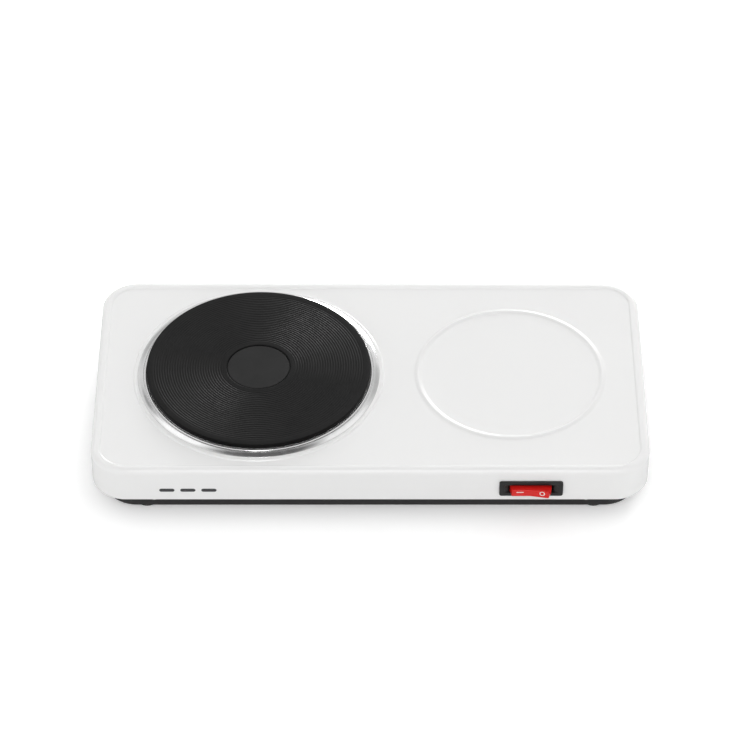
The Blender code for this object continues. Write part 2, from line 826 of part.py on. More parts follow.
def make_switch_works():
    """The lever that makes the contact, the three tabs and the lamp."""
    pivot = bpy.data.objects.new("lever_pivot", None)
    pivot.location = switch_point(0, LEVER_OUT)
    pivot.rotation_euler = (0, 0, LEVER_TILT)
    PARTS.objects.link(pivot)
    lever = [
        (-0.009, 0.0),
        (-0.009, -0.001),
        (0.009, -0.001),
        (0.009, 0.0),
        (0.0086, 0.0),
        (0.0086, 0.0007),
        (0.0064, 0.0007),
        (0.0064, 0.0),
    ]
    copper = finish("copper", (0.7, 0.35, 0.2), 0.3, 1.0)
    outline_curve("contact_lever", [lever], 0.005, copper, parent=pivot)
    for name, along, head_out in (("line", 0.0, LEVER_OUT - GAP), ("lamp", LAMP_TAB, LAMP_SEAT)):
        length = head_out - TAB_END_OUT
        block(
            f"switch_tab_{name}", (TAB[0], length, TAB[1]),
            switch_point(along, (head_out + TAB_END_OUT) / 2), brass(),
        )
    half, head, head_out = TAB[0] / 2, 0.0016, -0.0116
    stem = head_out - 0.0007
    load = [
        (half, -TAB_END_OUT),
        (half, -stem),
        (head, -stem),
        (head, -head_out),
        (-head, -head_out),
        (-head, -stem),
        (-half, -stem),
        (-half, -TAB_END_OUT),
    ]
    outline_curve("switch_tab_load", [load], TAB[1], brass(), switch_point(LOAD_TAB, 0))
    glass = finish("lamp_glass", (0.9, 0.5, 0.3), 0.1)
    lamp_out = LAMP_SEAT + GAP + LAMP_RADIUS
    rod("switch_lamp", LAMP_RADIUS, 0.009, switch_point(LAMP_TAB, lamp_out), glass)


def make_tab_sleeves():
    """The push-on connectors that hold the leads on the switch's tabs."""
    sleeve_length, back = 0.010, SWITCH_BACK_OUT - 0.0004
    outer = rounded_rectangle(0.0028, 0.0084, 0.0006, 2)
    inner = rounded_rectangle(TAB[0] + 2 * GAP, TAB[1] + 2 * GAP, 0.0003, 1)
    for name, along in (("line", 0.0), ("load", LOAD_TAB), ("lamp", LAMP_TAB)):
        outline_curve(
            f"tab_sleeve_{name}", [outer, inner], sleeve_length, brass(),
            switch_point(along, back - sleeve_length / 2), ROUND_X,
        )
    return PIVOT_Y - back + sleeve_length + GAP


def make_gland():
    """The cord entry in the back skirt: a flanged bush and its lock nut."""
    reach = rocker_reach()
    flange = 0.0025
    profile = [
        (GLAND_BORE, reach),
        (0.0072, reach),
        (0.0080, reach - 0.0012),
        (0.0080, flange),
        (0.0100, flange),
        (0.0105, flange - 0.0005),
        (0.0105, GAP),
        (GLAND_THREAD, GAP),
        (GLAND_THREAD, -0.0110),
        (GLAND_BORE, -0.0110),
    ]
    turned(
        "cord_gland", profile, black_plastic(), 24, (GLAND_X, HALF_DEPTH, GLAND_Z), TO_BACK, ring=True
    )
    nut = 0.004
    outline_curve(
        "gland_nut", [hexagon(0.018), circle_points(GLAND_THREAD + GAP, 24)], nut, black_plastic(),
        (GLAND_X, HALF_DEPTH - SHEET - GAP - nut / 2, GLAND_Z), ROUND_X,
    )


def make_terminal_block():
    """The three-pole block on the tray: a comb of ceramic, a brass clamp and a screw for each pole."""
    low = TRAY_FLOOR + GAP
    base, rib_top, lug_top = low + 0.0039, 0.0190, low + 0.0030
    rib = 0.0007
    edges = [-1.5 * POLE_PITCH, -0.5 * POLE_PITCH, 0.5 * POLE_PITCH, 1.5 * POLE_PITCH]
    outline = [(-0.022, low), (0.022, low), (0.022, lug_top), (edges[-1] + rib, lug_top)]
    for edge in reversed(edges):
        outline += [(edge + rib, rib_top), (edge - rib, rib_top)]
        if edge != edges[0]:
            outline += [(edge - rib, base), (edge - POLE_PITCH + rib, base)]
    outline += [(edges[0] - rib, lug_top), (-0.022, lug_top)]
    body = as_mesh(
        outline_curve("terminal_block", [outline], BLOCK_LENGTH, ceramic(), (BLOCK_X, BLOCK_Y, 0), ROUND_X)
    )
    holes = []
    for side, name in ((-1, "left"), (1, "right")):
        x = BLOCK_X + side * 0.0185
        holes.append(rod(f"lug_hole_{name}", 0.0018, 0.01, (x, BLOCK_Y, low), None, segments=12))
        seat = lug_top + GAP
        screw = [
            (0.0, seat + 0.0018),
            (0.0020, seat + 0.0018),
            (0.0026, seat + 0.0008),
            (0.0026, seat),
            (0.0014, seat),
            (0.0014, low),
            (0.0, low),
        ]
        turned(f"block_screw_{name}", screw, zinc_steel(), 12, (x, BLOCK_Y, 0))
    boolean(body, holes)
    clamp = (0.0076, BLOCK_LENGTH - 0.001, 0.007)
    for name, offset in POLES.items():
        x = BLOCK_X + offset
        piece = block(f"pole_clamp_{name}", clamp, (x, BLOCK_Y, CLAMP_Z), brass())
        wire_hole = rod(
            f"wire_hole_{name}", 0.0022, 0.03, (x, BLOCK_Y, CLAMP_Z), None, segments=12, turn=ROUND_X
        )
        thread = rod(f"thread_{name}", 0.0019, 0.006, (x, BLOCK_Y, CLAMP_Z + 0.0035), None, segments=12)
        boolean(piece, [wire_hole, thread])
        top = CLAMP_Z + clamp[2] / 2
        screw = [
            (0.0, top + 0.0018),
            (0.0022, top + 0.0018),
            (0.0026, top + 0.0012),
            (0.0026, top + GAP),
            (0.0016, top + GAP),
            (0.0016, CLAMP_Z + 0.0012),
            (0.0, CLAMP_Z + 0.0012),
        ]
        turned(f"pole_screw_{name}", screw, zinc_steel(), 12, (x, BLOCK_Y, 0))
    return BLOCK_Y - clamp[1] / 2 - GAP


def make_earth_point():
    """The earth stud on the tray, its nut and the ring lug between them."""
    low = TRAY_FLOOR + GAP
    lug, nut = 0.001, 0.0032
    rod("earth_stud", 0.002, 0.010, (EARTH_X, EARTH_Y, low + 0.005), zinc_steel(), segments=12)
    turns = [math.radians(110 + 320 * k / 14) for k in range(15)]
    around = [(0.0045 * math.cos(a), 0.0045 * math.sin(a)) for a in turns]
    tail = [(0.0015, 0.0105), (-0.0015, 0.0105)]
    outline_curve(
        "earth_lug", [around + tail, circle_points(0.0023, 12)], lug, brass(),
        (EARTH_X, EARTH_Y, low + lug / 2),
    )
    outline_curve(
        "earth_nut", [hexagon(0.007), circle_points(0.0023, 12)], nut, zinc_steel(),
        (EARTH_X, EARTH_Y, low + lug + GAP + nut / 2),
    )


def smooth_route(points, spacing):
    """Evenly spaced points on the smooth curve through the given ones."""
    path = [Vector(point) for point in points]
    path = [path[0] * 2 - path[1], *path, path[-1] * 2 - path[-2]]
    fine = []
    for before, start, end, after in zip(path, path[1:], path[2:], path[3:]):
        for step in range(24):
            t = step / 24
            curve = 2 * start + (end - before) * t
            curve += (2 * before - 5 * start + 4 * end - after) * t * t
            curve += (3 * start - before - 3 * end + after) * t**3
            fine.append(curve / 2)
    fine.append(path[-2])
    lengths = [0.0]
    for one, two in zip(fine, fine[1:]):
        lengths.append(lengths[-1] + (two - one).length)
    count = max(2, round(lengths[-1] / spacing))
    route, at = [], 0
    for step in range(count + 1):
        target = lengths[-1] * step / count
        while at < len(lengths) - 2 and lengths[at + 1] < target:
            at += 1
        share = (target - lengths[at]) / (lengths[at + 1] - lengths[at])
        route.append(fine[at].lerp(fine[at + 1], min(1.0, share)))
    return route


def tube(name, points, radius, material, parent=None):
    """A round wire along the points."""
    curve = bpy.data.curves.new(name, "CURVE")
    curve.dimensions = "3D"
    curve.bevel_depth = radius
    curve.bevel_resolution = 2
    curve.use_fill_caps = True
    spline = curve.splines.new("POLY")
    spline.points.add(len(points) - 1)
    for point, place_of_it in zip(spline.points, points):
        point.co = (*place_of_it, 1)
    return place(name, curve, material, parent=parent)


def make_leads(sleeve_end, clamp_front):
    """The insulated leads between the block, the switch, the cut-out, the plate and the earth stud."""
    white = finish("glass_sleeve", (0.75, 0.73, 0.68), 0.8)
    brown = finish("brown_lead", (0.2, 0.08, 0.03), 0.6)
    blue = finish("blue_lead", (0.05, 0.12, 0.4), 0.6)
    green = finish("green_lead", (0.2, 0.4, 0.05), 0.6)
    neutral, line, earth = (BLOCK_X + POLES[pole] for pole in ("neutral", "line", "earth"))
    line_tab = (SWITCH_X, sleeve_end, SWITCH_Z)
    load_tab = (SWITCH_X + LOAD_TAB, sleeve_end, SWITCH_Z)
    lamp_tab = (SWITCH_X + LAMP_TAB, sleeve_end, SWITCH_Z)
    pair = 0.0018
    blade_side = TAB[0] / 2 + GAP
    blade_in = PLATE_X + CUTOUT_SPREAD + blade_side
    blade_out = PLATE_X - CUTOUT_SPREAD - blade_side
    plate_line = PLATE_X - PLATE_TERMINAL_SPREAD - blade_side
    plate_neutral = PLATE_X + PLATE_TERMINAL_SPREAD + blade_side
    routes = {
        "lead_line": (brown, [
            line_tab, (SWITCH_X, -0.072, SWITCH_Z), (0.129, -0.052, 0.028), (0.138, -0.015, 0.019),
            (0.148, 0.022, 0.014), (line, 0.046, CLAMP_Z), (line, clamp_front, CLAMP_Z),
        ]),
        "lead_lamp": (blue, [
            lamp_tab, (0.114, -0.072, SWITCH_Z), (0.115, -0.052, 0.028), (0.122, -0.012, 0.018),
            (0.136, 0.026, 0.014), (neutral + pair, 0.046, CLAMP_Z), (neutral + pair, clamp_front, CLAMP_Z),
        ]),
        "lead_switched": (white, [
            load_tab, (0.1345, -0.075, 0.031), (0.130, -0.068, 0.020), (0.115, -0.062, 0.0135),
            (0.085, -0.058, 0.012), (0.045, -0.055, 0.013), (0.005, -0.051, 0.019),
            (-0.040, -0.046, 0.0275), (blade_in + 0.010, CUTOUT_Y, CUTOUT_LEAD_Z),
            (blade_in, CUTOUT_Y, CUTOUT_LEAD_Z),
        ]),
        "lead_link": (white, [
            (blade_out, CUTOUT_Y, CUTOUT_LEAD_Z), (blade_out - 0.007, CUTOUT_Y + 0.001, CUTOUT_LEAD_Z),
            (-0.113, -0.030, 0.027), (-0.118, 0.000, 0.025), (-0.114, 0.032, 0.0265),
            (plate_line - 0.006, PLATE_TERMINAL_Y - 0.001, PLATE_LEAD_Z),
            (plate_line, PLATE_TERMINAL_Y, PLATE_LEAD_Z),
        ]),
        "lead_neutral": (white, [
            (neutral - pair, clamp_front, CLAMP_Z), (neutral - pair, 0.048, CLAMP_Z), (0.130, 0.040, 0.014),
            (0.095, 0.036, 0.014), (0.045, 0.038, 0.016), (0.000, 0.044, 0.021),
            (-0.045, 0.048, 0.027), (plate_neutral + 0.010, PLATE_TERMINAL_Y, PLATE_LEAD_Z),
            (plate_neutral, PLATE_TERMINAL_Y, PLATE_LEAD_Z),
        ]),
        "lead_earth": (green, [
            (earth, clamp_front, CLAMP_Z), (earth, 0.050, 0.0132), (0.166, 0.044, 0.010),
            (0.175, 0.042, 0.0078), (EARTH_X, 0.0385, 0.0076), (EARTH_X, EARTH_Y + 0.0109, 0.0076),
        ]),
    }
    for name, (material, points) in routes.items():
        tube(name, smooth_route(points, 0.0065), LEAD_RADIUS, material)


def make_switch():
    """The whole rocker switch, resting with its left half pressed."""
    pivot = bpy.data.objects.new("rocker_pivot", None)
    pivot.location = switch_point(0, 0)
    pivot.rotation_euler = (0, 0, -ROCKER_TILT)
    PARTS.objects.link(pivot)
    make_switch_housing()
    make_rocker(pivot)
    make_switch_works()


for old in list(bpy.data.objects):
    bpy.data.objects.remove(old)
PARTS = new_collection("hot_plate_burner")
TOOLS = new_collection("cutters")
TOOLS.hide_render = True
make_housing()
make_tray()
make_feet()
make_tray_screws()
make_hotplate()
make_spill_ring()
make_coils()
make_plate_cover()
make_plate_terminals()
make_thermal_cutout()
make_clamp()
make_heat_shield()
make_switch()
make_gland()
make_earth_point()
make_leads(make_tab_sleeves(), make_terminal_block())
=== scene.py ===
"""Looks of a hot plate burner: an enamelled steel body on a black tray, with one cast-iron plate in a
bright trim ring, a raised rest ring and a red rocker switch.

Units are metres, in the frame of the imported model: +X is the user's right, +Y points to the back, +Z is
up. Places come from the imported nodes. Fine sizes that the nodes do not carry are fields of the classes.
"""

import json
import logging
import math
from collections.abc import Sequence
from dataclasses import dataclass, field
from enum import Enum

import bmesh
import bpy
import numpy as np
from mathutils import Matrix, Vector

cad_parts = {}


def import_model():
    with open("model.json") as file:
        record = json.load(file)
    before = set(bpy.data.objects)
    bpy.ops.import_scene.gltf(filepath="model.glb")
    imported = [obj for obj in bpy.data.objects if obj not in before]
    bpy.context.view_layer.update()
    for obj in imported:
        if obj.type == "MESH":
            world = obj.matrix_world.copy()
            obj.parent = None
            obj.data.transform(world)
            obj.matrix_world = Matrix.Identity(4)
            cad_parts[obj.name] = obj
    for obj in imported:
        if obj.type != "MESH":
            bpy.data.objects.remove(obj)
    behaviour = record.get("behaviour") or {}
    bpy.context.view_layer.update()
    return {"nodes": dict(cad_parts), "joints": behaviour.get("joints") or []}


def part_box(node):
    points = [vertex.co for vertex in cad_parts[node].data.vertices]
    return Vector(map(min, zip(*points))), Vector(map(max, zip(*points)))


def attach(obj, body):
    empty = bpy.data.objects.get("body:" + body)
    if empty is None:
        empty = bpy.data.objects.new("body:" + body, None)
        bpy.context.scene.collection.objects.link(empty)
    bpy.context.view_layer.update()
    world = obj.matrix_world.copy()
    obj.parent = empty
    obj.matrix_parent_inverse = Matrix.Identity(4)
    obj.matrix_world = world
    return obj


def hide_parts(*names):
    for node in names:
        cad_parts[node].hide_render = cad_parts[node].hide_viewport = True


LOG = logging.getLogger("hot_plate")
FOOT_PLACES = ("front_left", "front_right", "rear_left", "rear_right")
WELD = 1e-6
SHEET = 0.0006
GAP = 0.0003
FULL_TURN = 2 * math.pi

Array = np.ndarray
Place = tuple[float, float, float]
Colour = tuple[float, float, float]


# Shapes -------------------------------------------------------------------------------------------


@dataclass(frozen=True)
class Axes:
    """A place and three directions in which a shape is drawn."""

    origin: Place = (0.0, 0.0, 0.0)
    first: Place = (1.0, 0.0, 0.0)
    second: Place = (0.0, 1.0, 0.0)
    third: Place = (0.0, 0.0, 1.0)

    def place(self, local: Array) -> Array:
        """Local points (a, b, c) in the model's frame: origin + a first + b second + c third."""
        return np.array(self.origin) + local @ np.array((self.first, self.second, self.third))


def unit(vectors: Array) -> Array:
    """The same directions at length one."""
    return vectors / np.linalg.norm(vectors, axis=-1, keepdims=True)


def smoothstep(low: float, high: float, values: Array) -> Array:
    """0 below low and 1 above high, with t t (3 - 2 t) between."""
    share = np.clip((values - low) / (high - low), 0.0, 1.0)
    return share * share * (3 - 2 * share)


def filleted(corners: Sequence[tuple[float, float, float]], steps: int = 6, guard: float = 0.0) -> Array:
    """Points of a section whose corners are rounded by true arcs.

    At a corner whose sides meet at the angle a, an arc of radius r touches both sides at the distance
    r / tan(a / 2). Its centre lies on the bisector, r / sin(a / 2) away. The arc's points are the two
    touching directions, weighted by sin((1 - s) b) / sin(b) and sin(s b) / sin(b), where b is its sweep.

    Args:
        corners: (across, height, radius) of each corner. The first and last stay sharp.
        steps: Faces along each arc.
        guard: Distance of one more point before and after each arc, less where there is no room for it.
            It keeps flat faces flat.

    Returns:
        An (n, 2) array of (across, height).
    """
    places = np.array(corners)[:, :2]
    rows = [places[:1]]
    for before, here, after, corner in zip(places, places[1:], places[2:], corners[1:]):
        radius = corner[2]
        if radius <= 0:
            rows.append(here[None])
            continue
        back, ahead = unit(before - here), unit(after - here)
        half = 0.5 * math.acos(float(np.clip(back @ ahead, -1.0, 1.0)))
        touch = radius / math.tan(half)
        centre = here + unit(back + ahead) * radius / math.sin(half)
        first, last = here + back * touch - centre, here + ahead * touch - centre
        sweep = math.pi - 2 * half
        share = np.linspace(0.0, 1.0, steps + 1)[:, None]
        arc = centre + (np.sin((1 - share) * sweep) * first + np.sin(share * sweep) * last) / math.sin(sweep)
        if guard:
            room = [np.linalg.norm(side - here) - touch for side in (before, after)]
            near, far = (min(guard, 0.3 * float(left)) for left in room)
            arc = np.concatenate([[arc[0] + back * near], arc, [arc[-1] + ahead * far]])
        rows.append(arc)
    rows.append(places[-1:])
    return np.concatenate(rows)


@dataclass(frozen=True)
class RoundedRectangle:
    """A rectangle with round corners, drawn anticlockwise from the top of its right side.

    Each point is a bone plus the corner radius times an outward direction. The bones stay at a corner's
    centre while the direction turns, and slide along a side while it stays. Moving the outline in by d
    takes d off the radius.
    """

    width: float
    depth: float
    corner: float
    centre: tuple[float, float] = (0.0, 0.0)
    corner_steps: int = 8
    side_steps: tuple[int, int] = (1, 1)
    split: float = 0.0

    def skeleton(self) -> tuple[Array, Array]:
        """The bones and the outward directions, each (n, 2). The long sides get a point at split.

        Returns:
            The bones, then the directions.
        """
        half_x, half_y = self.width / 2 - self.corner, self.depth / 2 - self.corner
        count = self.side_steps[0]
        ahead = round(count * (half_x - self.split) / (2 * half_x))
        stops, knots = [0, ahead, count], [half_x, self.split, -half_x]
        if count < 2:
            stops, knots = [0, count], [half_x, -half_x]
        along = np.interp(np.arange(count + 1), stops, knots)[1:-1]
        down = np.linspace(half_y, -half_y, self.side_steps[1] + 1)[1:-1]
        sides = (
            np.stack([along, np.full(along.shape, half_y)], axis=1),
            np.stack([np.full(down.shape, -half_x), down], axis=1),
            np.stack([along[::-1], np.full(along.shape, -half_y)], axis=1),
            np.stack([np.full(down.shape, half_x), down[::-1]], axis=1),
        )
        bones, normals = [], []
        for quarter, (side_x, side_y) in enumerate(((1, 1), (-1, 1), (-1, -1), (1, -1))):
            turn = math.pi / 2 * (quarter + np.linspace(0.0, 1.0, self.corner_steps + 1))
            arc = np.stack([np.cos(turn), np.sin(turn)], axis=1)
            bones += [np.tile((side_x * half_x, side_y * half_y), (len(arc), 1)), sides[quarter]]
            normals += [arc, np.tile(arc[-1], (len(sides[quarter]), 1))]
        return np.concatenate(bones), np.concatenate(normals)

    def loop(self, inset: float = 0.0, height: float = 0.0) -> Array:
        """The outline moved in by the inset, at that height, as (n, 3).

        Args:
            inset: How far the outline moves in.
            height: The height of its points.

        Returns:
            The points, as (n, 3).
        """
        bones, normals = self.skeleton()
        flat = np.array(self.centre) + bones + (self.corner - inset) * normals
        return np.column_stack([flat, np.full(len(flat), height)])

    def loft(self, section: Array) -> Array:
        """The section, as (inset, height) rows, carried round the outline: (rows, n, 3).

        Args:
            section: Rows of (inset, height).

        Returns:
            The points, as (rows, n, 3).
        """
        bones, normals = self.skeleton()
        reach = (self.corner - section[:, 0])[:, None, None]
        flat = np.array(self.centre) + bones[None] + reach * normals[None]
        heights = np.broadcast_to(section[:, 1][:, None, None], (*flat.shape[:2], 1))
        return np.concatenate([flat, heights], axis=2)


def turned(profile: Array, segments: int) -> Array:
    """A profile of (radius, height) turned about the third axis: (r cos t, r sin t, h).

    Args:
        profile: Rows of (radius, height).
        segments: Points round the axis.

    Returns:
        The points, as (rows, segments, 3).
    """
    turn = FULL_TURN * np.arange(segments) / segments
    radius = profile[:, 0][:, None]
    height = np.broadcast_to(profile[:, 1][:, None], (len(profile), segments))
    return np.stack([radius * np.cos(turn), radius * np.sin(turn), height], axis=-1)


class Patchwork:
    """Grids of points, sewn into one mesh where they meet."""

    def __init__(self, axes: Axes = Axes()) -> None:
        """Starts empty.

        Args:
            axes: The place and directions that the added grids are drawn in.
        """
        self.axes = axes
        self.points: list[Array] = []
        self.faces: list[list[int]] = []
        self.count = 0

    def add(self, grid: Array, ring: bool = True, caps: bool = False, loop: bool = False) -> "Patchwork":
        """Adds a grid as four-sided faces.

        Args:
            grid: (rows, columns, 3) local points.
            ring: Whether each row closes on itself.
            caps: Whether the first and last rows are closed, each with one face.
            loop: Whether the last row is joined to the first one.

        Returns:
            This patchwork, so that calls can be chained.
        """
        rows, columns = grid.shape[:2]
        index = np.arange(rows * columns).reshape(rows, columns) + self.count
        self.points.append(self.axes.place(grid.reshape(-1, 3)))
        self.count += rows * columns
        if caps:
            self.faces += [index[0][::-1].tolist(), index[-1].tolist()]
        if loop:
            index = np.concatenate([index, index[:1]])
        if ring:
            index = np.concatenate([index, index[:, :1]], axis=1)
        quads = np.stack([index[:-1, :-1], index[:-1, 1:], index[1:, 1:], index[1:, :-1]], axis=-1)
        self.faces += quads.reshape(-1, 4).tolist()
        return self

    def prism(self, outline: RoundedRectangle, low: float, high: float) -> "Patchwork":
        """Adds a closed prism of the outline between two heights, and returns this patchwork."""
        return self.add(np.stack([outline.loop(0.0, low), outline.loop(0.0, high)]), caps=True)

    def rod(self, radius: float, low: float, high: float, segments: int = 32) -> "Patchwork":
        """Adds a closed rod about the third axis, and returns this patchwork."""
        return self.add(turned(np.array([(radius, low), (radius, high)]), segments), caps=True)

    def mesh(self, name: str) -> bpy.types.Mesh:
        """The sewn mesh: doubles merged, and faces turned outwards from the mesh's own middle.

        Args:
            name: Name of the new mesh.

        Returns:
            The mesh.
        """
        mesh = bpy.data.meshes.new(name)
        mesh.from_pydata(np.concatenate(self.points).tolist(), [], self.faces)
        shape = bmesh.new()
        shape.from_mesh(mesh)
        bmesh.ops.remove_doubles(shape, verts=shape.verts, dist=WELD)
        bmesh.ops.dissolve_degenerate(shape, edges=shape.edges, dist=WELD)
        bmesh.ops.recalc_face_normals(shape, faces=shape.faces)
        shape.to_mesh(mesh)
        shape.free()
        return mesh


def carve(
    mesh: bpy.types.Mesh,
    thickness: float = 0.0,
    join: Patchwork | None = None,
    cut: Patchwork | None = None,
) -> bpy.types.Mesh:
    """The mesh given a wall thickness, with other shapes joined to it and cut from it.

    Args:
        mesh: The mesh, which is used up.
        thickness: Wall added on the inner side of an open sheet.
        join: A closed shape to unite with it.
        cut: Closed shapes to take out of it.

    Returns:
        The finished mesh.
    """
    name = mesh.name
    worked = bpy.data.objects.new(name, mesh)
    bpy.context.scene.collection.objects.link(worked)
    made = [worked]
    if thickness:
        wall = worked.modifiers.new("wall", "SOLIDIFY")
        wall.thickness = thickness
        wall.offset = -1.0
        wall.use_even_offset = True
    for operation, shapes in (("UNION", join), ("DIFFERENCE", cut)):
        if shapes is None:
            continue
        tool = bpy.data.objects.new(f"{name}_tool", shapes.mesh(f"{name}_tool"))
        bpy.context.scene.collection.objects.link(tool)
        made.append(tool)
        change = worked.modifiers.new(operation, "BOOLEAN")
        change.operation = operation
        change.solver = "EXACT"
        change.object = tool
    bpy.context.view_layer.update()
    graph = bpy.context.evaluated_depsgraph_get()
    finished = bpy.data.meshes.new_from_object(worked.evaluated_get(graph))
    for used in made:
        data = used.data
        bpy.data.objects.remove(used)
        bpy.data.meshes.remove(data)
    finished.name = name
    return finished


# Finishes -----------------------------------------------------------------------------------------


class Effect(Enum):
    """Surface effects that several finishes share, each one a node group."""

    GRAIN = "surface_grain"
    TONE = "tone_shift"
    GLOSS = "gloss_shift"
    RINGS = "turned_rings"


class Pattern(Enum):
    """The relief that a finish has besides its grain."""

    PLAIN = "plain"
    TURNED = "turned"
    BRAIDED = "braided"
    WOUND = "wound"


class Nodes:
    """Adds and links the nodes of one tree."""

    def __init__(self, tree: bpy.types.NodeTree) -> None:
        """Works on that tree."""
        self.tree = tree

    def add(self, kind: str, inputs: dict | None = None, **settings: object) -> bpy.types.Node:
        """Adds a node.

        Args:
            kind: Blender's name of the node type.
            inputs: For an input's name or number, its value or the socket linked to it.
            settings: The node's own options.

        Returns:
            The node.
        """
        node = self.tree.nodes.new(kind)
        for key, value in settings.items():
            setattr(node, key, value)
        for key, value in (inputs or {}).items():
            if isinstance(value, bpy.types.NodeSocket):
                self.tree.links.new(value, node.inputs[key])
            else:
                node.inputs[key].default_value = value
        return node

    def math(self, operation: str, *values: object) -> bpy.types.NodeSocket:
        """The result of a Math node on those values or sockets."""
        return self.add("ShaderNodeMath", dict(enumerate(values)), operation=operation).outputs[0]

    def spread(
        self, value: object, low: object, high: object, span: tuple[float, float]
    ) -> bpy.types.NodeSocket:
        """The value's span mapped to low .. high and held there outside it."""
        inputs = {"Value": value, "From Min": span[0], "From Max": span[1], "To Min": low, "To Max": high}
        return self.add("ShaderNodeMapRange", inputs, clamp=True).outputs["Result"]

    def scaled(self, colour: bpy.types.NodeSocket, factor: object) -> bpy.types.NodeSocket:
        """The colour multiplied by the factor."""
        inputs = {0: colour, "Scale": factor}
        return self.add("ShaderNodeVectorMath", inputs, operation="SCALE").outputs[0]

    def radius(self, vector: bpy.types.NodeSocket) -> bpy.types.NodeSocket:
        """The vector's distance from the third axis.

        Args:
            vector: The point, from an origin on the axis.

        Returns:
            The distance.
        """
        split = self.add("ShaderNodeSeparateXYZ", {0: vector}).outputs
        flat = self.add("ShaderNodeCombineXYZ", {0: split[0], 1: split[1]}).outputs[0]
        return self.add("ShaderNodeVectorMath", {0: flat}, operation="LENGTH").outputs["Value"]

    def noise(self, vector: object, scale: object, detail: float) -> bpy.types.NodeSocket:
        """A noise texture's value, about 0.25 to 0.75."""
        inputs = {"Vector": vector, "Scale": scale, "Detail": detail, "Roughness": 0.55}
        return self.add("ShaderNodeTexNoise", inputs).outputs[0]


def shared(nodes: Nodes, effect: Effect, **inputs: object) -> bpy.types.NodeSocket:
    """Places a shared effect in a material and returns its output."""
    return nodes.add("ShaderNodeGroup", inputs, node_tree=effect_tree(effect)).outputs[0]


def effect_tree(effect: Effect) -> bpy.types.NodeTree:
    """The node group of an effect, built once.

    Args:
        effect: Which effect.

    Returns:
        The group. GRAIN gives a height in metres from two sizes of noise. TONE lightens and darkens a
        colour in soft clouds. GLOSS does the same to a roughness. RINGS gives the height of concentric
        turning marks, 0.5 + 0.5 sin(2 pi r / pitch) times the depth, broken up by noise.
    """
    if effect.value in bpy.data.node_groups:
        return bpy.data.node_groups[effect.value]
    tree = bpy.data.node_groups.new(effect.value, "ShaderNodeTree")
    tree.interface.new_socket("Vector", in_out="INPUT", socket_type="NodeSocketVector")
    names = {
        Effect.GRAIN: ("Scale", "Depth"),
        Effect.TONE: ("Amount", "Scale"),
        Effect.GLOSS: ("Roughness", "Spread", "Scale"),
        Effect.RINGS: ("Pitch", "Depth"),
    }[effect]
    if effect is Effect.TONE:
        tree.interface.new_socket("Colour", in_out="INPUT", socket_type="NodeSocketColor")
    for name in names:
        tree.interface.new_socket(name, in_out="INPUT", socket_type="NodeSocketFloat")
    nodes = Nodes(tree)
    given = nodes.add("NodeGroupInput").outputs
    if effect is Effect.TONE:
        tree.interface.new_socket("Colour", in_out="OUTPUT", socket_type="NodeSocketColor")
        cloud = nodes.noise(given["Vector"], given["Scale"], 3.0)
        low = nodes.math("SUBTRACT", 1.0, given["Amount"])
        high = nodes.math("ADD", 1.0, given["Amount"])
        factor = nodes.spread(cloud, low, high, (0.3, 0.7))
        result = nodes.scaled(given["Colour"], factor)
    else:
        output = "Roughness" if effect is Effect.GLOSS else "Height"
        tree.interface.new_socket(output, in_out="OUTPUT", socket_type="NodeSocketFloat")
        if effect is Effect.GRAIN:
            fine = nodes.noise(given["Vector"], given["Scale"], 2.0)
            broad = nodes.noise(given["Vector"], nodes.math("MULTIPLY", given["Scale"], 0.23), 1.0)
            result = nodes.math("MULTIPLY", nodes.math("ADD", fine, broad), given["Depth"])
        elif effect is Effect.GLOSS:
            cloud = nodes.noise(given["Vector"], given["Scale"], 2.0)
            low = nodes.math("SUBTRACT", given["Roughness"], given["Spread"])
            high = nodes.math("ADD", given["Roughness"], given["Spread"])
            result = nodes.spread(cloud, low, high, (0.3, 0.7))
        else:
            radius = nodes.radius(given["Vector"])
            phase = nodes.math("MULTIPLY", nodes.math("DIVIDE", radius, given["Pitch"]), FULL_TURN)
            wave = nodes.spread(nodes.math("SINE", phase), 0.0, 1.0, (-1.0, 1.0))
            broken = nodes.spread(nodes.noise(given["Vector"], 90.0, 2.0), 0.5, 1.0, (0.3, 0.7))
            result = nodes.math("MULTIPLY", nodes.math("MULTIPLY", wave, broken), given["Depth"])
    nodes.add("NodeGroupOutput", {0: result})
    return tree


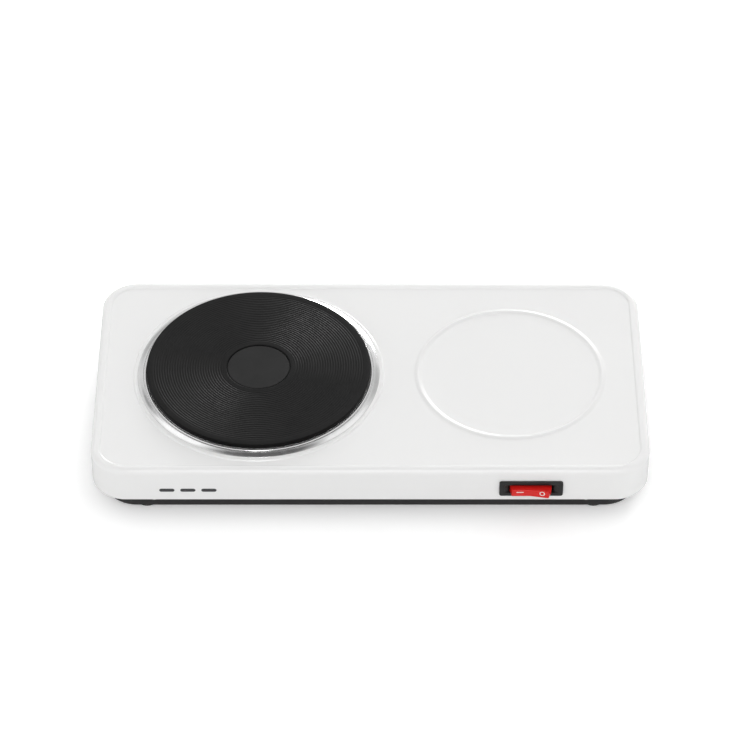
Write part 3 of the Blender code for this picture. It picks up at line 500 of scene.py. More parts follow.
@dataclass(frozen=True)
class Finish:
    """A surface finish, made once as a material.

    tone and tone_scale set how far and how finely the colour drifts; gloss does so for the roughness.
    grain and grain_scale are the height in metres and the fineness of its texture, per metre. Inside
    inner_radius of the centre the colour is multiplied by inner_tone, and beyond outer_radius by the
    outer factor, which on the iron plate is painted shade on its outer side.
    """

    name: str
    colour: Colour
    roughness: float
    slot: str | None = None
    metallic: float = 0.0
    specular: float = 0.5
    transmission: float = 0.0
    tone: float = 0.04
    tone_scale: float = 40.0
    gloss: float = 0.04
    gloss_scale: float = 120.0
    grain: float = 0.000004
    grain_scale: float = 900.0
    pattern: Pattern = Pattern.PLAIN
    pitch: float = 0.001
    relief: float = 0.0
    centre: Place = (0.0, 0.0, 0.0)
    inner_radius: float = 0.0
    inner_tone: float = 1.0
    outer_radius: float = 0.0
    outer_painted_shade: float = 1.0
    zone_blend: float = 0.0002

    def relief_height(self, nodes: Nodes, place: bpy.types.NodeSocket) -> bpy.types.NodeSocket | None:
        """The height of the finish's pattern, or None for a plain one.

        Args:
            nodes: The material's nodes.
            place: The surface point from the pattern's centre.

        Returns:
            Rings about the centre for a turned finish, two crossing waves for a braid, and turns that
            follow each other round the centre, sin(angle / pitch), for a wound wire.
        """
        if self.pattern is Pattern.TURNED:
            return shared(nodes, Effect.RINGS, Vector=place, Pitch=self.pitch, Depth=self.relief)
        if self.pattern is Pattern.PLAIN:
            return None
        x, y, z = nodes.add("ShaderNodeSeparateXYZ", {0: place}).outputs
        if self.pattern is Pattern.WOUND:
            turns = nodes.math("MULTIPLY", nodes.math("ARCTAN2", y, x), 1.0 / self.pitch)
            return nodes.math("MULTIPLY", nodes.math("SINE", turns), self.relief)
        across = nodes.math("ADD", x, nodes.math("ADD", y, z))
        other = nodes.math("SUBTRACT", nodes.math("ADD", x, z), y)
        waves = [
            nodes.math("SINE", nodes.math("MULTIPLY", way, FULL_TURN / self.pitch))
            for way in (across, other)
        ]
        return nodes.math("MULTIPLY", nodes.math("MULTIPLY", *waves), self.relief)

    def zoned(
        self, nodes: Nodes, place: bpy.types.NodeSocket, colour: bpy.types.NodeSocket
    ) -> bpy.types.NodeSocket:
        """The colour, multiplied by the inner tone near the centre and by the outer factor far from it, a
        painted shade.

        Args:
            nodes: The material's nodes.
            place: The surface point from the pattern's centre.
            colour: The colour between the two radii.

        Returns:
            The colour everywhere.
        """
        radius, near, far = nodes.radius(place), self.inner_radius, self.outer_radius
        inner = nodes.spread(radius, self.inner_tone, 1.0, (near, near + self.zone_blend))
        outer = nodes.spread(radius, 1.0, self.outer_painted_shade, (far - self.zone_blend, far))
        return nodes.scaled(colour, nodes.math("MULTIPLY", inner, outer))

    def material(self) -> bpy.types.Material:
        """The finish as a material of its own: a Principled BSDF fed by the shared effects.

        Returns:
            The material, made on the first call.
        """
        label = f"{self.name}_finish"
        if label in bpy.data.materials:
            return bpy.data.materials[label]
        material = bpy.data.materials.new(label)
        material.use_nodes = True
        material.diffuse_color = (*self.colour, 1.0)
        nodes = Nodes(material.node_tree)
        shader = material.node_tree.nodes["Principled BSDF"]
        for name, value in (
            ("Metallic", self.metallic),
            ("Specular IOR Level", self.specular),
            ("Transmission Weight", self.transmission),
        ):
            shader.inputs[name].default_value = value
        place = nodes.add("ShaderNodeTexCoord").outputs["Object"]
        if any(self.centre):
            shift = tuple(-value for value in self.centre)
            place = nodes.add("ShaderNodeMapping", {"Vector": place, "Location": shift}).outputs[0]
        colour = shared(
            nodes, Effect.TONE, Vector=place, Colour=(*self.colour, 1.0), Amount=self.tone,
            Scale=self.tone_scale,
        )
        if self.inner_radius:
            colour = self.zoned(nodes, place, colour)
        roughness = shared(
            nodes, Effect.GLOSS, Vector=place, Roughness=self.roughness, Spread=self.gloss,
            Scale=self.gloss_scale,
        )
        height = shared(nodes, Effect.GRAIN, Vector=place, Scale=self.grain_scale, Depth=self.grain)
        relief = self.relief_height(nodes, place)
        if relief is not None:
            height = nodes.math("ADD", height, relief)
        bump = nodes.add("ShaderNodeBump", {"Height": height, "Distance": 1.0, "Strength": 1.0})
        nodes.tree.links.new(colour, shader.inputs["Base Color"])
        nodes.tree.links.new(roughness, shader.inputs["Roughness"])
        nodes.tree.links.new(bump.outputs[0], shader.inputs["Normal"])
        return material


ENAMEL = Finish(
    "white_enamel", (0.845, 0.845, 0.841), 0.25, "white_enamel",
    tone=0.006, tone_scale=9.0, gloss=0.02, gloss_scale=60.0, grain=0.0000012, grain_scale=420.0,
)
BLACK_PAINT = Finish(
    "black_paint", (0.018, 0.018, 0.018), 0.42, "black_paint", specular=0.35, tone=0.10, tone_scale=30.0,
    grain=0.000012, grain_scale=1500.0,
)
RUBBER = Finish(
    "rubber", (0.014, 0.014, 0.014), 0.78, "rubber", specular=0.3, tone=0.12, tone_scale=120.0,
    grain=0.00002, grain_scale=2200.0,
)
BLACK_PLASTIC = Finish(
    "black_plastic", (0.012, 0.012, 0.012), 0.36, "black_plastic", specular=0.35, tone=0.08,
    tone_scale=150.0, gloss=0.05, grain=0.000005, grain_scale=3200.0,
)
RED_PLASTIC = Finish(
    "red_rocker", (0.68, 0.014, 0.012), 0.22, "red_rocker", specular=0.30,
    tone=0.03, tone_scale=90.0, gloss=0.03, grain=0.000002, grain_scale=1800.0,
)
ZINC = Finish(
    "zinc_steel", (0.62, 0.62, 0.60), 0.36, "zinc_steel", metallic=1.0, tone=0.10, tone_scale=180.0,
    gloss=0.08, grain=0.000006, grain_scale=2600.0,
)
ALUMINISED = Finish(
    "aluminised", (0.80, 0.80, 0.80), 0.26, "aluminised", metallic=1.0, tone=0.05, tone_scale=60.0,
    gloss=0.08, grain=0.000008, grain_scale=700.0,
)
BRASS = Finish(
    "brass", (0.72, 0.50, 0.20), 0.28, "brass", metallic=1.0, tone=0.12, tone_scale=200.0, gloss=0.08,
)
COPPER = Finish(
    "copper", (0.70, 0.35, 0.20), 0.28, "copper", metallic=1.0, tone=0.12, tone_scale=220.0, gloss=0.08,
)
CERAMIC = Finish(
    "ceramic", (0.74, 0.71, 0.63), 0.58, "ceramic", tone=0.05, tone_scale=140.0, grain=0.00002,
    grain_scale=2400.0,
)
LAMP_GLASS = Finish(
    "lamp_glass", (0.95, 0.62, 0.42), 0.06, "lamp_glass", transmission=0.85, tone=0.03,
    gloss=0.02, grain=0.000001,
)
BROWN_LEAD, BLUE_LEAD, GREEN_LEAD = (
    Finish(name, colour, 0.46, name, tone=0.08, tone_scale=200.0, grain=0.000008, grain_scale=2600.0)
    for name, colour in (
        ("brown_lead", (0.16, 0.062, 0.026)),
        ("blue_lead", (0.045, 0.11, 0.37)),
        ("green_lead", (0.19, 0.38, 0.045)),
    )
)
GLASS_SLEEVE = Finish(
    "glass_sleeve", (0.72, 0.70, 0.65), 0.72, "glass_sleeve", tone=0.10, tone_scale=260.0,
    grain=0.00001, grain_scale=3000.0, pattern=Pattern.BRAIDED, pitch=0.0009, relief=0.00008,
)
WHITE_PRINT = Finish(
    "white_print", (0.82, 0.76, 0.74), 0.35, tone=0.03, tone_scale=300.0, grain=0.000002,
)
DARK_PRINT = Finish(
    "dark_print", (0.030, 0.030, 0.032), 0.38, tone=0.06, tone_scale=300.0, grain=0.000002,
)


def add_piece(
    name: str,
    mesh: bpy.types.Mesh,
    finish: Finish,
    body: str = "base",
    stands_for: Sequence[str] = (),
    sharp: float = 32.0,
) -> bpy.types.Object:
    """Adds a finished piece to the object.

    Args:
        name: The piece's name.
        mesh: Its mesh, already in place.
        finish: What it is covered with.
        body: The body that it rides on.
        stands_for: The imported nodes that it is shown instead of.
        sharp: Edges that turn by more than this many degrees stay crisp.

    Returns:
        The new object.
    """
    piece = bpy.data.objects.new(name, mesh)
    bpy.context.scene.collection.objects.link(piece)
    mesh.materials.clear()
    mesh.materials.append(finish.material())
    mesh.shade_smooth()
    mesh.set_sharp_from_angle(angle=math.radians(sharp))
    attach(piece, body)
    if stands_for:
        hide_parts(*stands_for)
    LOG.info("%s: %d faces, %s", name, len(mesh.polygons), finish.name)
    return piece


@dataclass(frozen=True)
class Extent:
    """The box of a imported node, and what follows from it."""

    low: Place
    high: Place

    @classmethod
    def of(cls, node: str) -> "Extent":
        """The extent of that node at rest."""
        low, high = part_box(node)
        return cls(tuple(low), tuple(high))

    @property
    def middle(self) -> Place:
        """The centre of the box."""
        return tuple((a + b) / 2 for a, b in zip(self.low, self.high))

    @property
    def size(self) -> Place:
        """The width, depth and height of the box."""
        return tuple(b - a for a, b in zip(self.low, self.high))

    def upright(self) -> Axes:
        """Upright axes through the middle of the box, with their origin on the ground."""
        return Axes((self.middle[0], self.middle[1], 0.0))


# Body ---------------------------------------------------------------------------------------------


@dataclass
class Body:
    """The pressed and enamelled sheet: hem, skirt, rim, sunk panel, plate seat and rest ring."""

    sheet: float = SHEET
    corner: float = 0.028
    hem_width: float = 0.012
    hem_radius: float = 0.0012
    edge_radius: float = 0.0042
    rim_width: float = 0.0066
    rim_step: float = 0.0012
    rim_radius: float = 0.0012
    foot_radius: float = 0.0005
    panel_depth: float = 0.001
    panel_margin: float = 0.00022
    split: float = 0.024
    collar_radius: float = 0.0862
    collar_drop: float = 0.0035
    seat_radius: float = 0.101
    seat_slope: float = 0.001
    rest_centre: tuple[float, float] = (0.1124, 0.0015)
    rest_radius: float = 0.0774
    rest_width: float = 0.0066
    rest_rise: float = 0.0012
    guard: float = 0.0003
    cutter_depth: float = 0.004
    switch_hole: tuple[float, float] = (0.0402, 0.0138)
    gland_hole: float = 0.0071
    extent: Extent = field(default_factory=lambda: Extent.of("housing"))
    plate: Extent = field(default_factory=lambda: Extent.of("hotplate"))
    switch: Extent = field(default_factory=lambda: Extent.of("switch_housing"))
    gland: Extent = field(default_factory=lambda: Extent.of("cord_gland"))

    def outline(self) -> RoundedRectangle:
        """The body's outline from above.

        Returns:
            The outline, with a point on each long side where the panel is split.
        """
        return RoundedRectangle(
            self.extent.size[0], self.extent.size[1], self.corner, corner_steps=18,
            side_steps=(96, 44), split=self.split,
        )

    def skirt_section(self) -> Array:
        """The section from the hem's inner edge, up the skirt and over the rim to the panel.

        Returns:
            Rows of (inset, height).
        """
        bottom, top = self.extent.low[2], self.rim_top()
        step = self.rim_width + self.rim_step
        corners = (
            (self.hem_width, bottom, 0.0),
            (0.0, bottom, self.hem_radius),
            (0.0, top, self.edge_radius),
            (self.rim_width, top, self.rim_radius),
            (step, top - self.panel_depth, self.foot_radius),
            (step + self.panel_margin, top - self.panel_depth, 0.0),
        )
        return filleted(corners, steps=8, guard=self.guard)

    def rim_top(self) -> float:
        """The height of the rim."""
        return self.extent.high[2]

    def half_loop(self, right: bool) -> Array:
        """The edge of one half of the panel: its part of the outline and the line that splits it.

        Args:
            right: Whether it is the half with the rest ring.

        Returns:
            The points of the edge, in order, as (n, 3).
        """
        inset = self.rim_width + self.rim_step + self.panel_margin
        loop = self.outline().loop(inset, self.rim_top() - self.panel_depth)
        on_split = np.flatnonzero(np.abs(loop[:, 0] - self.split) < WELD)
        back, front = on_split[np.argmax(loop[on_split, 1])], on_split[np.argmin(loop[on_split, 1])]
        if right:
            part = np.concatenate([loop[front:], loop[: back + 1]])
        else:
            part = loop[back : front + 1]
        across = np.linspace(part[-1], part[0], 52)[1:-1]
        return np.concatenate([part, across])

    def panel_half(self, right: bool) -> Array:
        """One half of the panel, drawn outwards from a round feature to its edge.

        Each column follows the direction from the feature's centre to a point of the edge. A row of
        radius r and height z is centre + r direction, and the last row is the edge itself.

        Args:
            right: Whether it is the half with the rest ring.

        Returns:
            The points, as (rows, n, 3).
        """
        loop = self.half_loop(right)
        centre = np.array(self.rest_centre if right else self.plate.middle[:2])
        ways = unit(loop[:, :2] - centre)
        section = self.rest_section() if right else self.seat_section()
        flat = centre + section[:, 0][:, None, None] * ways[None]
        heights = np.broadcast_to(section[:, 1][:, None, None], (*flat.shape[:2], 1))
        rings = np.concatenate([flat, heights], axis=2)
        return np.concatenate([rings, loop[None]])

    def seat_section(self) -> Array:
        """The plate's seat as (radius, height), from the collar's lower edge out to the panel.

        Returns:
            Rows of (radius, height).
        """
        top, panel = self.rim_top(), self.rim_top() - self.panel_depth
        corners = (
            (self.collar_radius, top - self.collar_drop, 0.0),
            (self.collar_radius, top, self.sheet),
            (self.seat_radius - self.seat_slope, top, self.seat_slope),
            (self.seat_radius, panel, self.foot_radius),
            (self.seat_radius + 0.00035, panel, 0.0),
        )
        return filleted(corners, steps=6, guard=self.guard)

    def rest_section(self) -> Array:
        """The rest ring as (radius, height): a bead whose height is 0.5 rise (1 - cos(2 pi s)).

        Returns:
            Rows of (radius, height), from the middle of the ring outwards.
        """
        panel = self.rim_top() - self.panel_depth
        share = np.linspace(0.0, 1.0, 19)
        bead = np.stack(
            [
                self.rest_radius - self.rest_width * (1 - share),
                panel + 0.5 * self.rest_rise * (1 - np.cos(FULL_TURN * share)),
            ],
            axis=1,
        )
        inside = bead[0, 0] * np.array([0.0, 0.5, 0.9])
        flat = np.column_stack([inside, np.full(3, panel)])
        outside = np.array([[self.rest_radius + 0.001, panel]])
        return np.concatenate([flat, bead, outside])

    def openings(self) -> Patchwork:
        """The holes for the switch and for the cord's gland, as solid cutters through the skirt.

        Returns:
            The two cutters.
        """
        switch, gland = self.switch.middle, self.gland.middle
        depth = self.cutter_depth
        starts = (
            (switch[0], self.extent.low[1] - depth / 2, switch[2]),
            (gland[0], self.extent.high[1] - depth / 2, gland[2]),
        )
        front, back = (Axes(start, second=(0, 0, 1), third=(0, 1, 0)) for start in starts)
        cutters = Patchwork(front)
        hole = RoundedRectangle(*self.switch_hole, 0.0008, corner_steps=3)
        cutters.prism(hole, 0.0, depth)
        cutters.axes = back
        return cutters.rod(self.gland_hole, 0.0, depth, 48)

    def build(self) -> None:
        """Makes the enamelled body."""
        sheet = Patchwork()
        sheet.add(self.outline().loft(self.skirt_section()))
        sheet.add(self.panel_half(right=False))
        sheet.add(self.panel_half(right=True))
        mesh = carve(sheet.mesh("enamelled_body"), self.sheet, cut=self.openings())
        add_piece("enamelled_body", mesh, ENAMEL, stands_for=["housing"])


@dataclass
class SkirtMark:
    """Three short rounded bars printed on the front skirt."""

    middle: tuple[float, float] = (-0.1430, 0.0303)
    bar: tuple[float, float] = (0.012, 0.0034)
    pitch: float = 0.0165
    thickness: float = 0.00005
    lift: float = 0.00001

    def build(self) -> None:
        """Makes the bars as one thin print."""
        front = Extent.of("housing").low[1] - self.lift
        axes = Axes((self.middle[0], front, self.middle[1]), second=(0, 0, 1), third=(0, -1, 0))
        bars = Patchwork(axes)
        section = np.array([(0.0, 0.0), (0.0, self.thickness / 2), (self.thickness, self.thickness)])
        for step in (-1, 0, 1):
            bar = RoundedRectangle(*self.bar, self.bar[1] / 2 - WELD, centre=(step * self.pitch, 0.0))
            bars.add(bar.loft(section), caps=True)
        add_piece("skirt_mark", bars.mesh("skirt_mark"), DARK_PRINT)


# Tray, feet and screws ----------------------------------------------------------------------------


@dataclass
class Tray:
    """The black tray under the body: a flange, a low wall and a floor with vent slots."""

    sheet: float = SHEET
    corner: float = 0.0265
    inset: float = 0.009
    flange_inset: float = 0.0022
    flange_radius: float = 0.0008
    floor_radius: float = 0.0015
    foot_hole: float = 0.0034
    screw_hole: float = 0.0021
    vent: tuple[float, float] = (0.044, 0.004)
    vent_pitch: float = 0.013
    vents: int = 6
    vent_centres: tuple[float, float] = (-0.0897, 0.075)
    cutter_reach: float = 0.002
    extent: Extent = field(default_factory=lambda: Extent.of("base_tray"))

    def outline(self) -> RoundedRectangle:
        """The tray wall's outline from above."""
        width, depth = (side + 2 * (self.flange_inset - self.inset) for side in self.extent.size[:2])
        return RoundedRectangle(width, depth, self.corner, corner_steps=18, side_steps=(48, 24))

    def section(self) -> Array:
        """The section from the flange's edge in, down the wall and onto the floor.

        Returns:
            Rows of (inset, height).
        """
        bottom, top = self.extent.low[2], self.extent.high[2] - self.sheet
        corners = (
            (self.flange_inset - self.inset, top, 0.0),
            (0.0, top, self.flange_radius),
            (0.0, bottom, self.floor_radius),
            (0.004, bottom, 0.0),
        )
        return filleted(corners, steps=6, guard=0.0003)

    def openings(self, places: dict[str, Extent]) -> Patchwork:
        """The vents and the holes for the feet and screws, as solid cutters.

        Args:
            places: The extents of the feet and screws, by name.

        Returns:
            The cutters.
        """
        cutters = Patchwork()
        reach = self.cutter_reach
        low, high = self.extent.low[2] - reach, self.extent.low[2] + reach
        for middle in self.vent_centres:
            for row in range(self.vents):
                y = (row - (self.vents - 1) / 2) * self.vent_pitch
                slot = RoundedRectangle(*self.vent, self.vent[1] / 2 - WELD, centre=(middle, y))
                cutters.prism(slot, low, high)
        for name, extent in places.items():
            radius = self.foot_hole if name.startswith("foot") else self.screw_hole
            level = self.extent.low[2] if name.startswith("foot") else self.extent.high[2]
            cutters.axes = Axes((extent.middle[0], extent.middle[1], level))
            cutters.rod(radius, -reach, reach)
        return cutters

    def build(self) -> None:
        """Makes the tray."""
        names = [f"foot_{where}" for where in FOOT_PLACES] + [f"tray_screw_{n}" for n in range(1, 5)]
        grid = self.outline().loft(self.section())
        tray = Patchwork().add(grid)
        tray.faces.append(list(range(tray.count - grid.shape[1], tray.count)))
        openings = self.openings({name: Extent.of(name) for name in names})
        mesh = carve(tray.mesh("vented_tray"), self.sheet, cut=openings)
        add_piece("vented_tray", mesh, BLACK_PAINT, stands_for=["base_tray"])


@dataclass
class Foot:
    """A turned rubber foot with a stem that snaps through the tray."""

    stem: float = 0.0031
    barb: float = 0.0042
    rim: float = 0.0012
    tip: float = 0.0022
    grooves: tuple[float, float] = (0.0062, 0.0036)
    groove_half: float = 0.0006
    groove_depth: float = 0.0005

    def profile(self, radius: float, tray_bottom: float, tray_floor: float, top: float) -> Array:
        """The foot's outer side from its tip, over the barb and the pad, to two grip grooves below.

        Args:
            radius: The pad's radius.
            tray_bottom: Height of the tray's lower face.
            tray_floor: Height of its upper face.
            top: Height of the tip.

        Returns:
            Rows of (radius, height).
        """
        shoulder, half = tray_bottom - GAP, self.groove_half
        corners = [
            (0.0, top, 0.0),
            (self.tip, top, 0.0005),
            (self.barb, tray_floor + GAP, 0.0002),
            (self.stem, tray_floor + GAP, 0.0),
            (self.stem, shoulder, 0.0004),
            (radius, shoulder, 0.0005),
            (radius, 0.0, self.rim),
        ]
        for groove in self.grooves:
            ends = ((groove + half, 0.0), (groove, self.groove_depth), (groove - half, 0.0))
            corners += [(*end, 0.0002) for end in ends]
        corners.append((0.0, 0.0, 0.0))
        return filleted(corners, steps=4)

    def build(self) -> None:
        """Makes the four feet."""
        tray = Extent.of("base_tray")
        for where in FOOT_PLACES:
            extent = Extent.of(f"foot_{where}")
            profile = self.profile(extent.size[0] / 2, tray.low[2], tray.low[2] + SHEET, extent.high[2])
            pad = Patchwork(extent.upright()).add(turned(profile, 48))
            name = f"rubber_foot_{where}"
            add_piece(name, pad.mesh(name), RUBBER, stands_for=[f"foot_{where}"])


@dataclass
class TrayScrew:
    """A pan-head screw with a cross recess, head down."""

    head: float = 0.0028
    head_height: float = 0.0018
    dome_fall: float = 0.35
    shank: float = 0.0015
    slot_half: float = 0.00035
    slot_reach: float = 0.0017
    slot_depth: float = 0.0010

    def head_grid(self, seat: float) -> Array:
        """The head as a function of radius and turn.

        The dome's depth is the head height times (1 - fall (r / R)^2), eased to the rim. The cross is
        taken out where the point lies within the arms: near either axis and inside their reach.

        Args:
            seat: The height that the head bears on.

        Returns:
            The points, as (rows, columns, 3).
        """
        share = np.concatenate([np.linspace(0.0, 0.92, 22), np.array([0.96, 0.985, 1.0])])
        turn = FULL_TURN * np.arange(64) / 64
        radius = (self.head * share)[:, None]
        x, y = radius * np.cos(turn), radius * np.sin(turn)
        dome = self.head_height * (1 - self.dome_fall * (radius / self.head) ** 2)
        edge = 1 - smoothstep(0.90, 1.0, share)[:, None] * self.dome_fall
        nearest = np.minimum(np.abs(x), np.abs(y))
        arms = 1 - smoothstep(0.75 * self.slot_half, 1.25 * self.slot_half, nearest)
        reach = 1 - smoothstep(0.85 * self.slot_reach, self.slot_reach, np.broadcast_to(radius, x.shape))
        depth = dome * edge - self.slot_depth * arms * reach
        return np.stack([x, y, seat - depth], axis=-1)

    def build(self) -> None:
        """Makes the four screws."""
        tray = Extent.of("base_tray")
        seat = tray.high[2] - SHEET - GAP
        for number in range(1, 5):
            extent = Extent.of(f"tray_screw_{number}")
            shank = filleted(
                (
                    (self.head, seat - 0.45 * self.head_height, 0.0),
                    (self.head, seat, 0.0002),
                    (self.shank, seat, 0.0002),
                    (self.shank, extent.high[2] - 0.0012, 0.0003),
                    (0.0005, extent.high[2], 0.0002),
                    (0.0, extent.high[2], 0.0),
                ),
                steps=3,
            )
            head = self.head_grid(seat)
            shank[0, 1] = head[-1, 0, 2]
            screw = Patchwork(extent.upright()).add(head).add(turned(shank, 64))
            name = f"pan_head_screw_{number}"
            add_piece(name, screw.mesh(name), ZINC, stands_for=[f"tray_screw_{number}"])


# Plate and trim ring ------------------------------------------------------------------------------


@dataclass
class HotPlate:
    """The cast-iron plate with its sunk middle and turned grooves, in a bright trim ring."""

    middle_radius: float = 0.0248
    middle_depth: float = 0.0005
    moat_radius: float = 0.0257
    moat_depth: float = 0.0014
    groove_pitch: float = 0.00206
    groove_depth: float = 0.00020
    groove_start: float = 0.0275
    groove_end: float = 0.0868
    rim_radius: float = 0.0008
    lip: float = 0.004
    bead: tuple[float, float] = (0.0901, 0.0919)
    flange_radius: float = 0.0884
    body_radius: float = 0.084
    body_bottom: float = 0.045
    channels: tuple[tuple[float, float], ...] = ((0.0545, 0.0775), (0.0245, 0.0485))
    channel_depth: float = 0.006
    stud_radius: float = 0.0043
    stud_depth: float = 0.0078
    segments: int = 256
    extent: Extent = field(default_factory=lambda: Extent.of("hotplate"))
    ring: Extent = field(default_factory=lambda: Extent.of("spill_ring"))

    def radius(self) -> float:
        """The plate's outer radius."""
        return self.extent.size[0] / 2

    def grooved(self, top: float) -> Array:
        """The ground face between the sunk middle and the rim.

        Its height is top - depth (0.5 - 0.5 cos(2 pi (r - start) / pitch)), eased in and out at its ends.

        Args:
            top: Height of the ground face.

        Returns:
            Rows of (radius, height).
        """
        count = 8 * round((self.groove_end - self.groove_start) / self.groove_pitch)
        radius = np.linspace(self.groove_start, self.groove_end, count + 1)
        wave = 0.5 - 0.5 * np.cos(FULL_TURN * (radius - self.groove_start) / self.groove_pitch)
        fade = self.groove_pitch * 2
        ease = smoothstep(self.groove_start, self.groove_start + fade, radius)
        ease = ease * (1 - smoothstep(self.groove_end - fade, self.groove_end, radius))
        return np.stack([radius, top - self.groove_depth * wave * ease], axis=1)

    def profile(self) -> Array:
        """The plate's whole outer side, from the middle of its face round to the stud's hole.

        Returns:
            Rows of (radius, height).
        """
        top, rim = self.extent.high[2], self.radius()
        sunk = filleted(
            (
                (0.0, top - self.middle_depth, 0.0),
                (self.middle_radius, top - self.middle_depth, 0.0002),
                (self.middle_radius, top - self.moat_depth, 0.0001),
                (self.moat_radius, top - self.moat_depth, 0.0001),
                (self.moat_radius, top, 0.0006),
                (self.groove_start, top, 0.0),
            ),
            steps=5,
            guard=0.0003,
        )
        sides = [
            (self.groove_end, top, 0.0),
            (rim, top, self.rim_radius),
            (rim, top - self.lip, 0.0004),
            (self.flange_radius, top - self.lip - 0.0002, 0.0),
            (self.flange_radius, top - self.lip - 0.0014, 0.0),
            (self.body_radius, top - self.lip - 0.0020, 0.0006),
            (self.body_radius, self.body_bottom, 0.0005),
        ]
        roof = self.body_bottom + self.channel_depth
        for near, far in self.channels:
            sides += [
                (far, self.body_bottom, 0.0004),
                (far, roof, 0.0008),
                (near, roof, 0.0008),
                (near, self.body_bottom, 0.0004),
            ]
        hole = self.body_bottom + self.stud_depth
        sides += [
            (self.stud_radius, self.body_bottom, 0.0004),
            (self.stud_radius, hole, 0.0),
            (0.0, hole, 0.0),
        ]
        return np.concatenate([sunk[:-1], self.grooved(top), filleted(sides, steps=5)[1:]])

    def ring_profile(self) -> Array:
        """The trim ring's closed section: a rounded bead, a narrow valley and a bowed band.

        Returns:
            Rows of (radius, height), closed from the last to the first.
        """
        near, far = self.bead
        top, valley = self.extent.high[2] - self.lip - 0.00045, self.extent.high[2] - self.lip - 0.0021
        edge, outer = self.ring.low[2], self.ring.size[0] / 2
        band = valley + 0.0009
        upper = filleted(
            (
                (near, top - 0.0016, 0.0),
                (near, top, 0.00088),
                (far, top, 0.00088),
                (far, valley, 0.0001),
                (far + 0.0006, valley, 0.0001),
                (far + 0.0007, band, 0.0003),
                (0.5 * (far + outer) + 0.0004, band - 0.00055, 0.014),
                (outer - 0.0001, edge + 0.00025, 0.0002),
                (outer - 0.0002, edge, 0.0),
            ),
            steps=8,
        )
        lower = np.array(
            [
                (outer - 0.0010, edge),
                (0.0944, edge + 0.0002),
                (far + 0.0002, valley - 0.0006),
                (near, top - 0.0022),
            ]
        )
        return np.concatenate([upper, lower])

    def iron(self) -> Finish:
        """Black-coated cast iron with turning marks about the plate's centre, its sunk middle lighter and
        its outer side darkened by painted shade.

        Returns:
            The finish.
        """
        return Finish(
            "cast_iron", (0.013, 0.013, 0.013), 0.36, "cast_iron", specular=0.07, tone=0.10,
            tone_scale=45.0, gloss=0.05, gloss_scale=200.0, grain=0.000008, grain_scale=1800.0,
            pattern=Pattern.TURNED, pitch=0.0006, relief=0.000004, centre=(*self.extent.middle[:2], 0.0),
            # Painted shade: beyond outer_radius, the plate's outer side and the outermost edge of its top
            # are darkened to 0.3 of the iron's colour.
            inner_radius=self.middle_radius, inner_tone=2.0, outer_radius=self.radius() - 0.0002,
            outer_painted_shade=0.3,
        )

    def steel(self) -> Finish:
        """Polished steel with faint lines round the ring.

        Returns:
            The finish.
        """
        return Finish(
            "stainless", (0.80, 0.80, 0.80), 0.13, "stainless", metallic=1.0, tone=0.02, tone_scale=80.0,
            gloss=0.03, gloss_scale=150.0, grain=0.000001, grain_scale=800.0, pattern=Pattern.TURNED,
            pitch=0.0005, relief=0.0000006, centre=(*self.extent.middle[:2], 0.0),
        )

    def build(self) -> None:
        """Makes the plate and the ring."""
        axes = self.extent.upright()
        plate = Patchwork(axes).add(turned(self.profile(), self.segments))
        add_piece("iron_plate", plate.mesh("iron_plate"), self.iron(), stands_for=["hotplate"], sharp=40.0)
        ring = Patchwork(axes).add(turned(self.ring_profile(), self.segments), loop=True)
        add_piece("trim_ring", ring.mesh("trim_ring"), self.steel(), stands_for=["spill_ring"], sharp=40.0)


# Switch -------------------------------------------------------------------------------------------


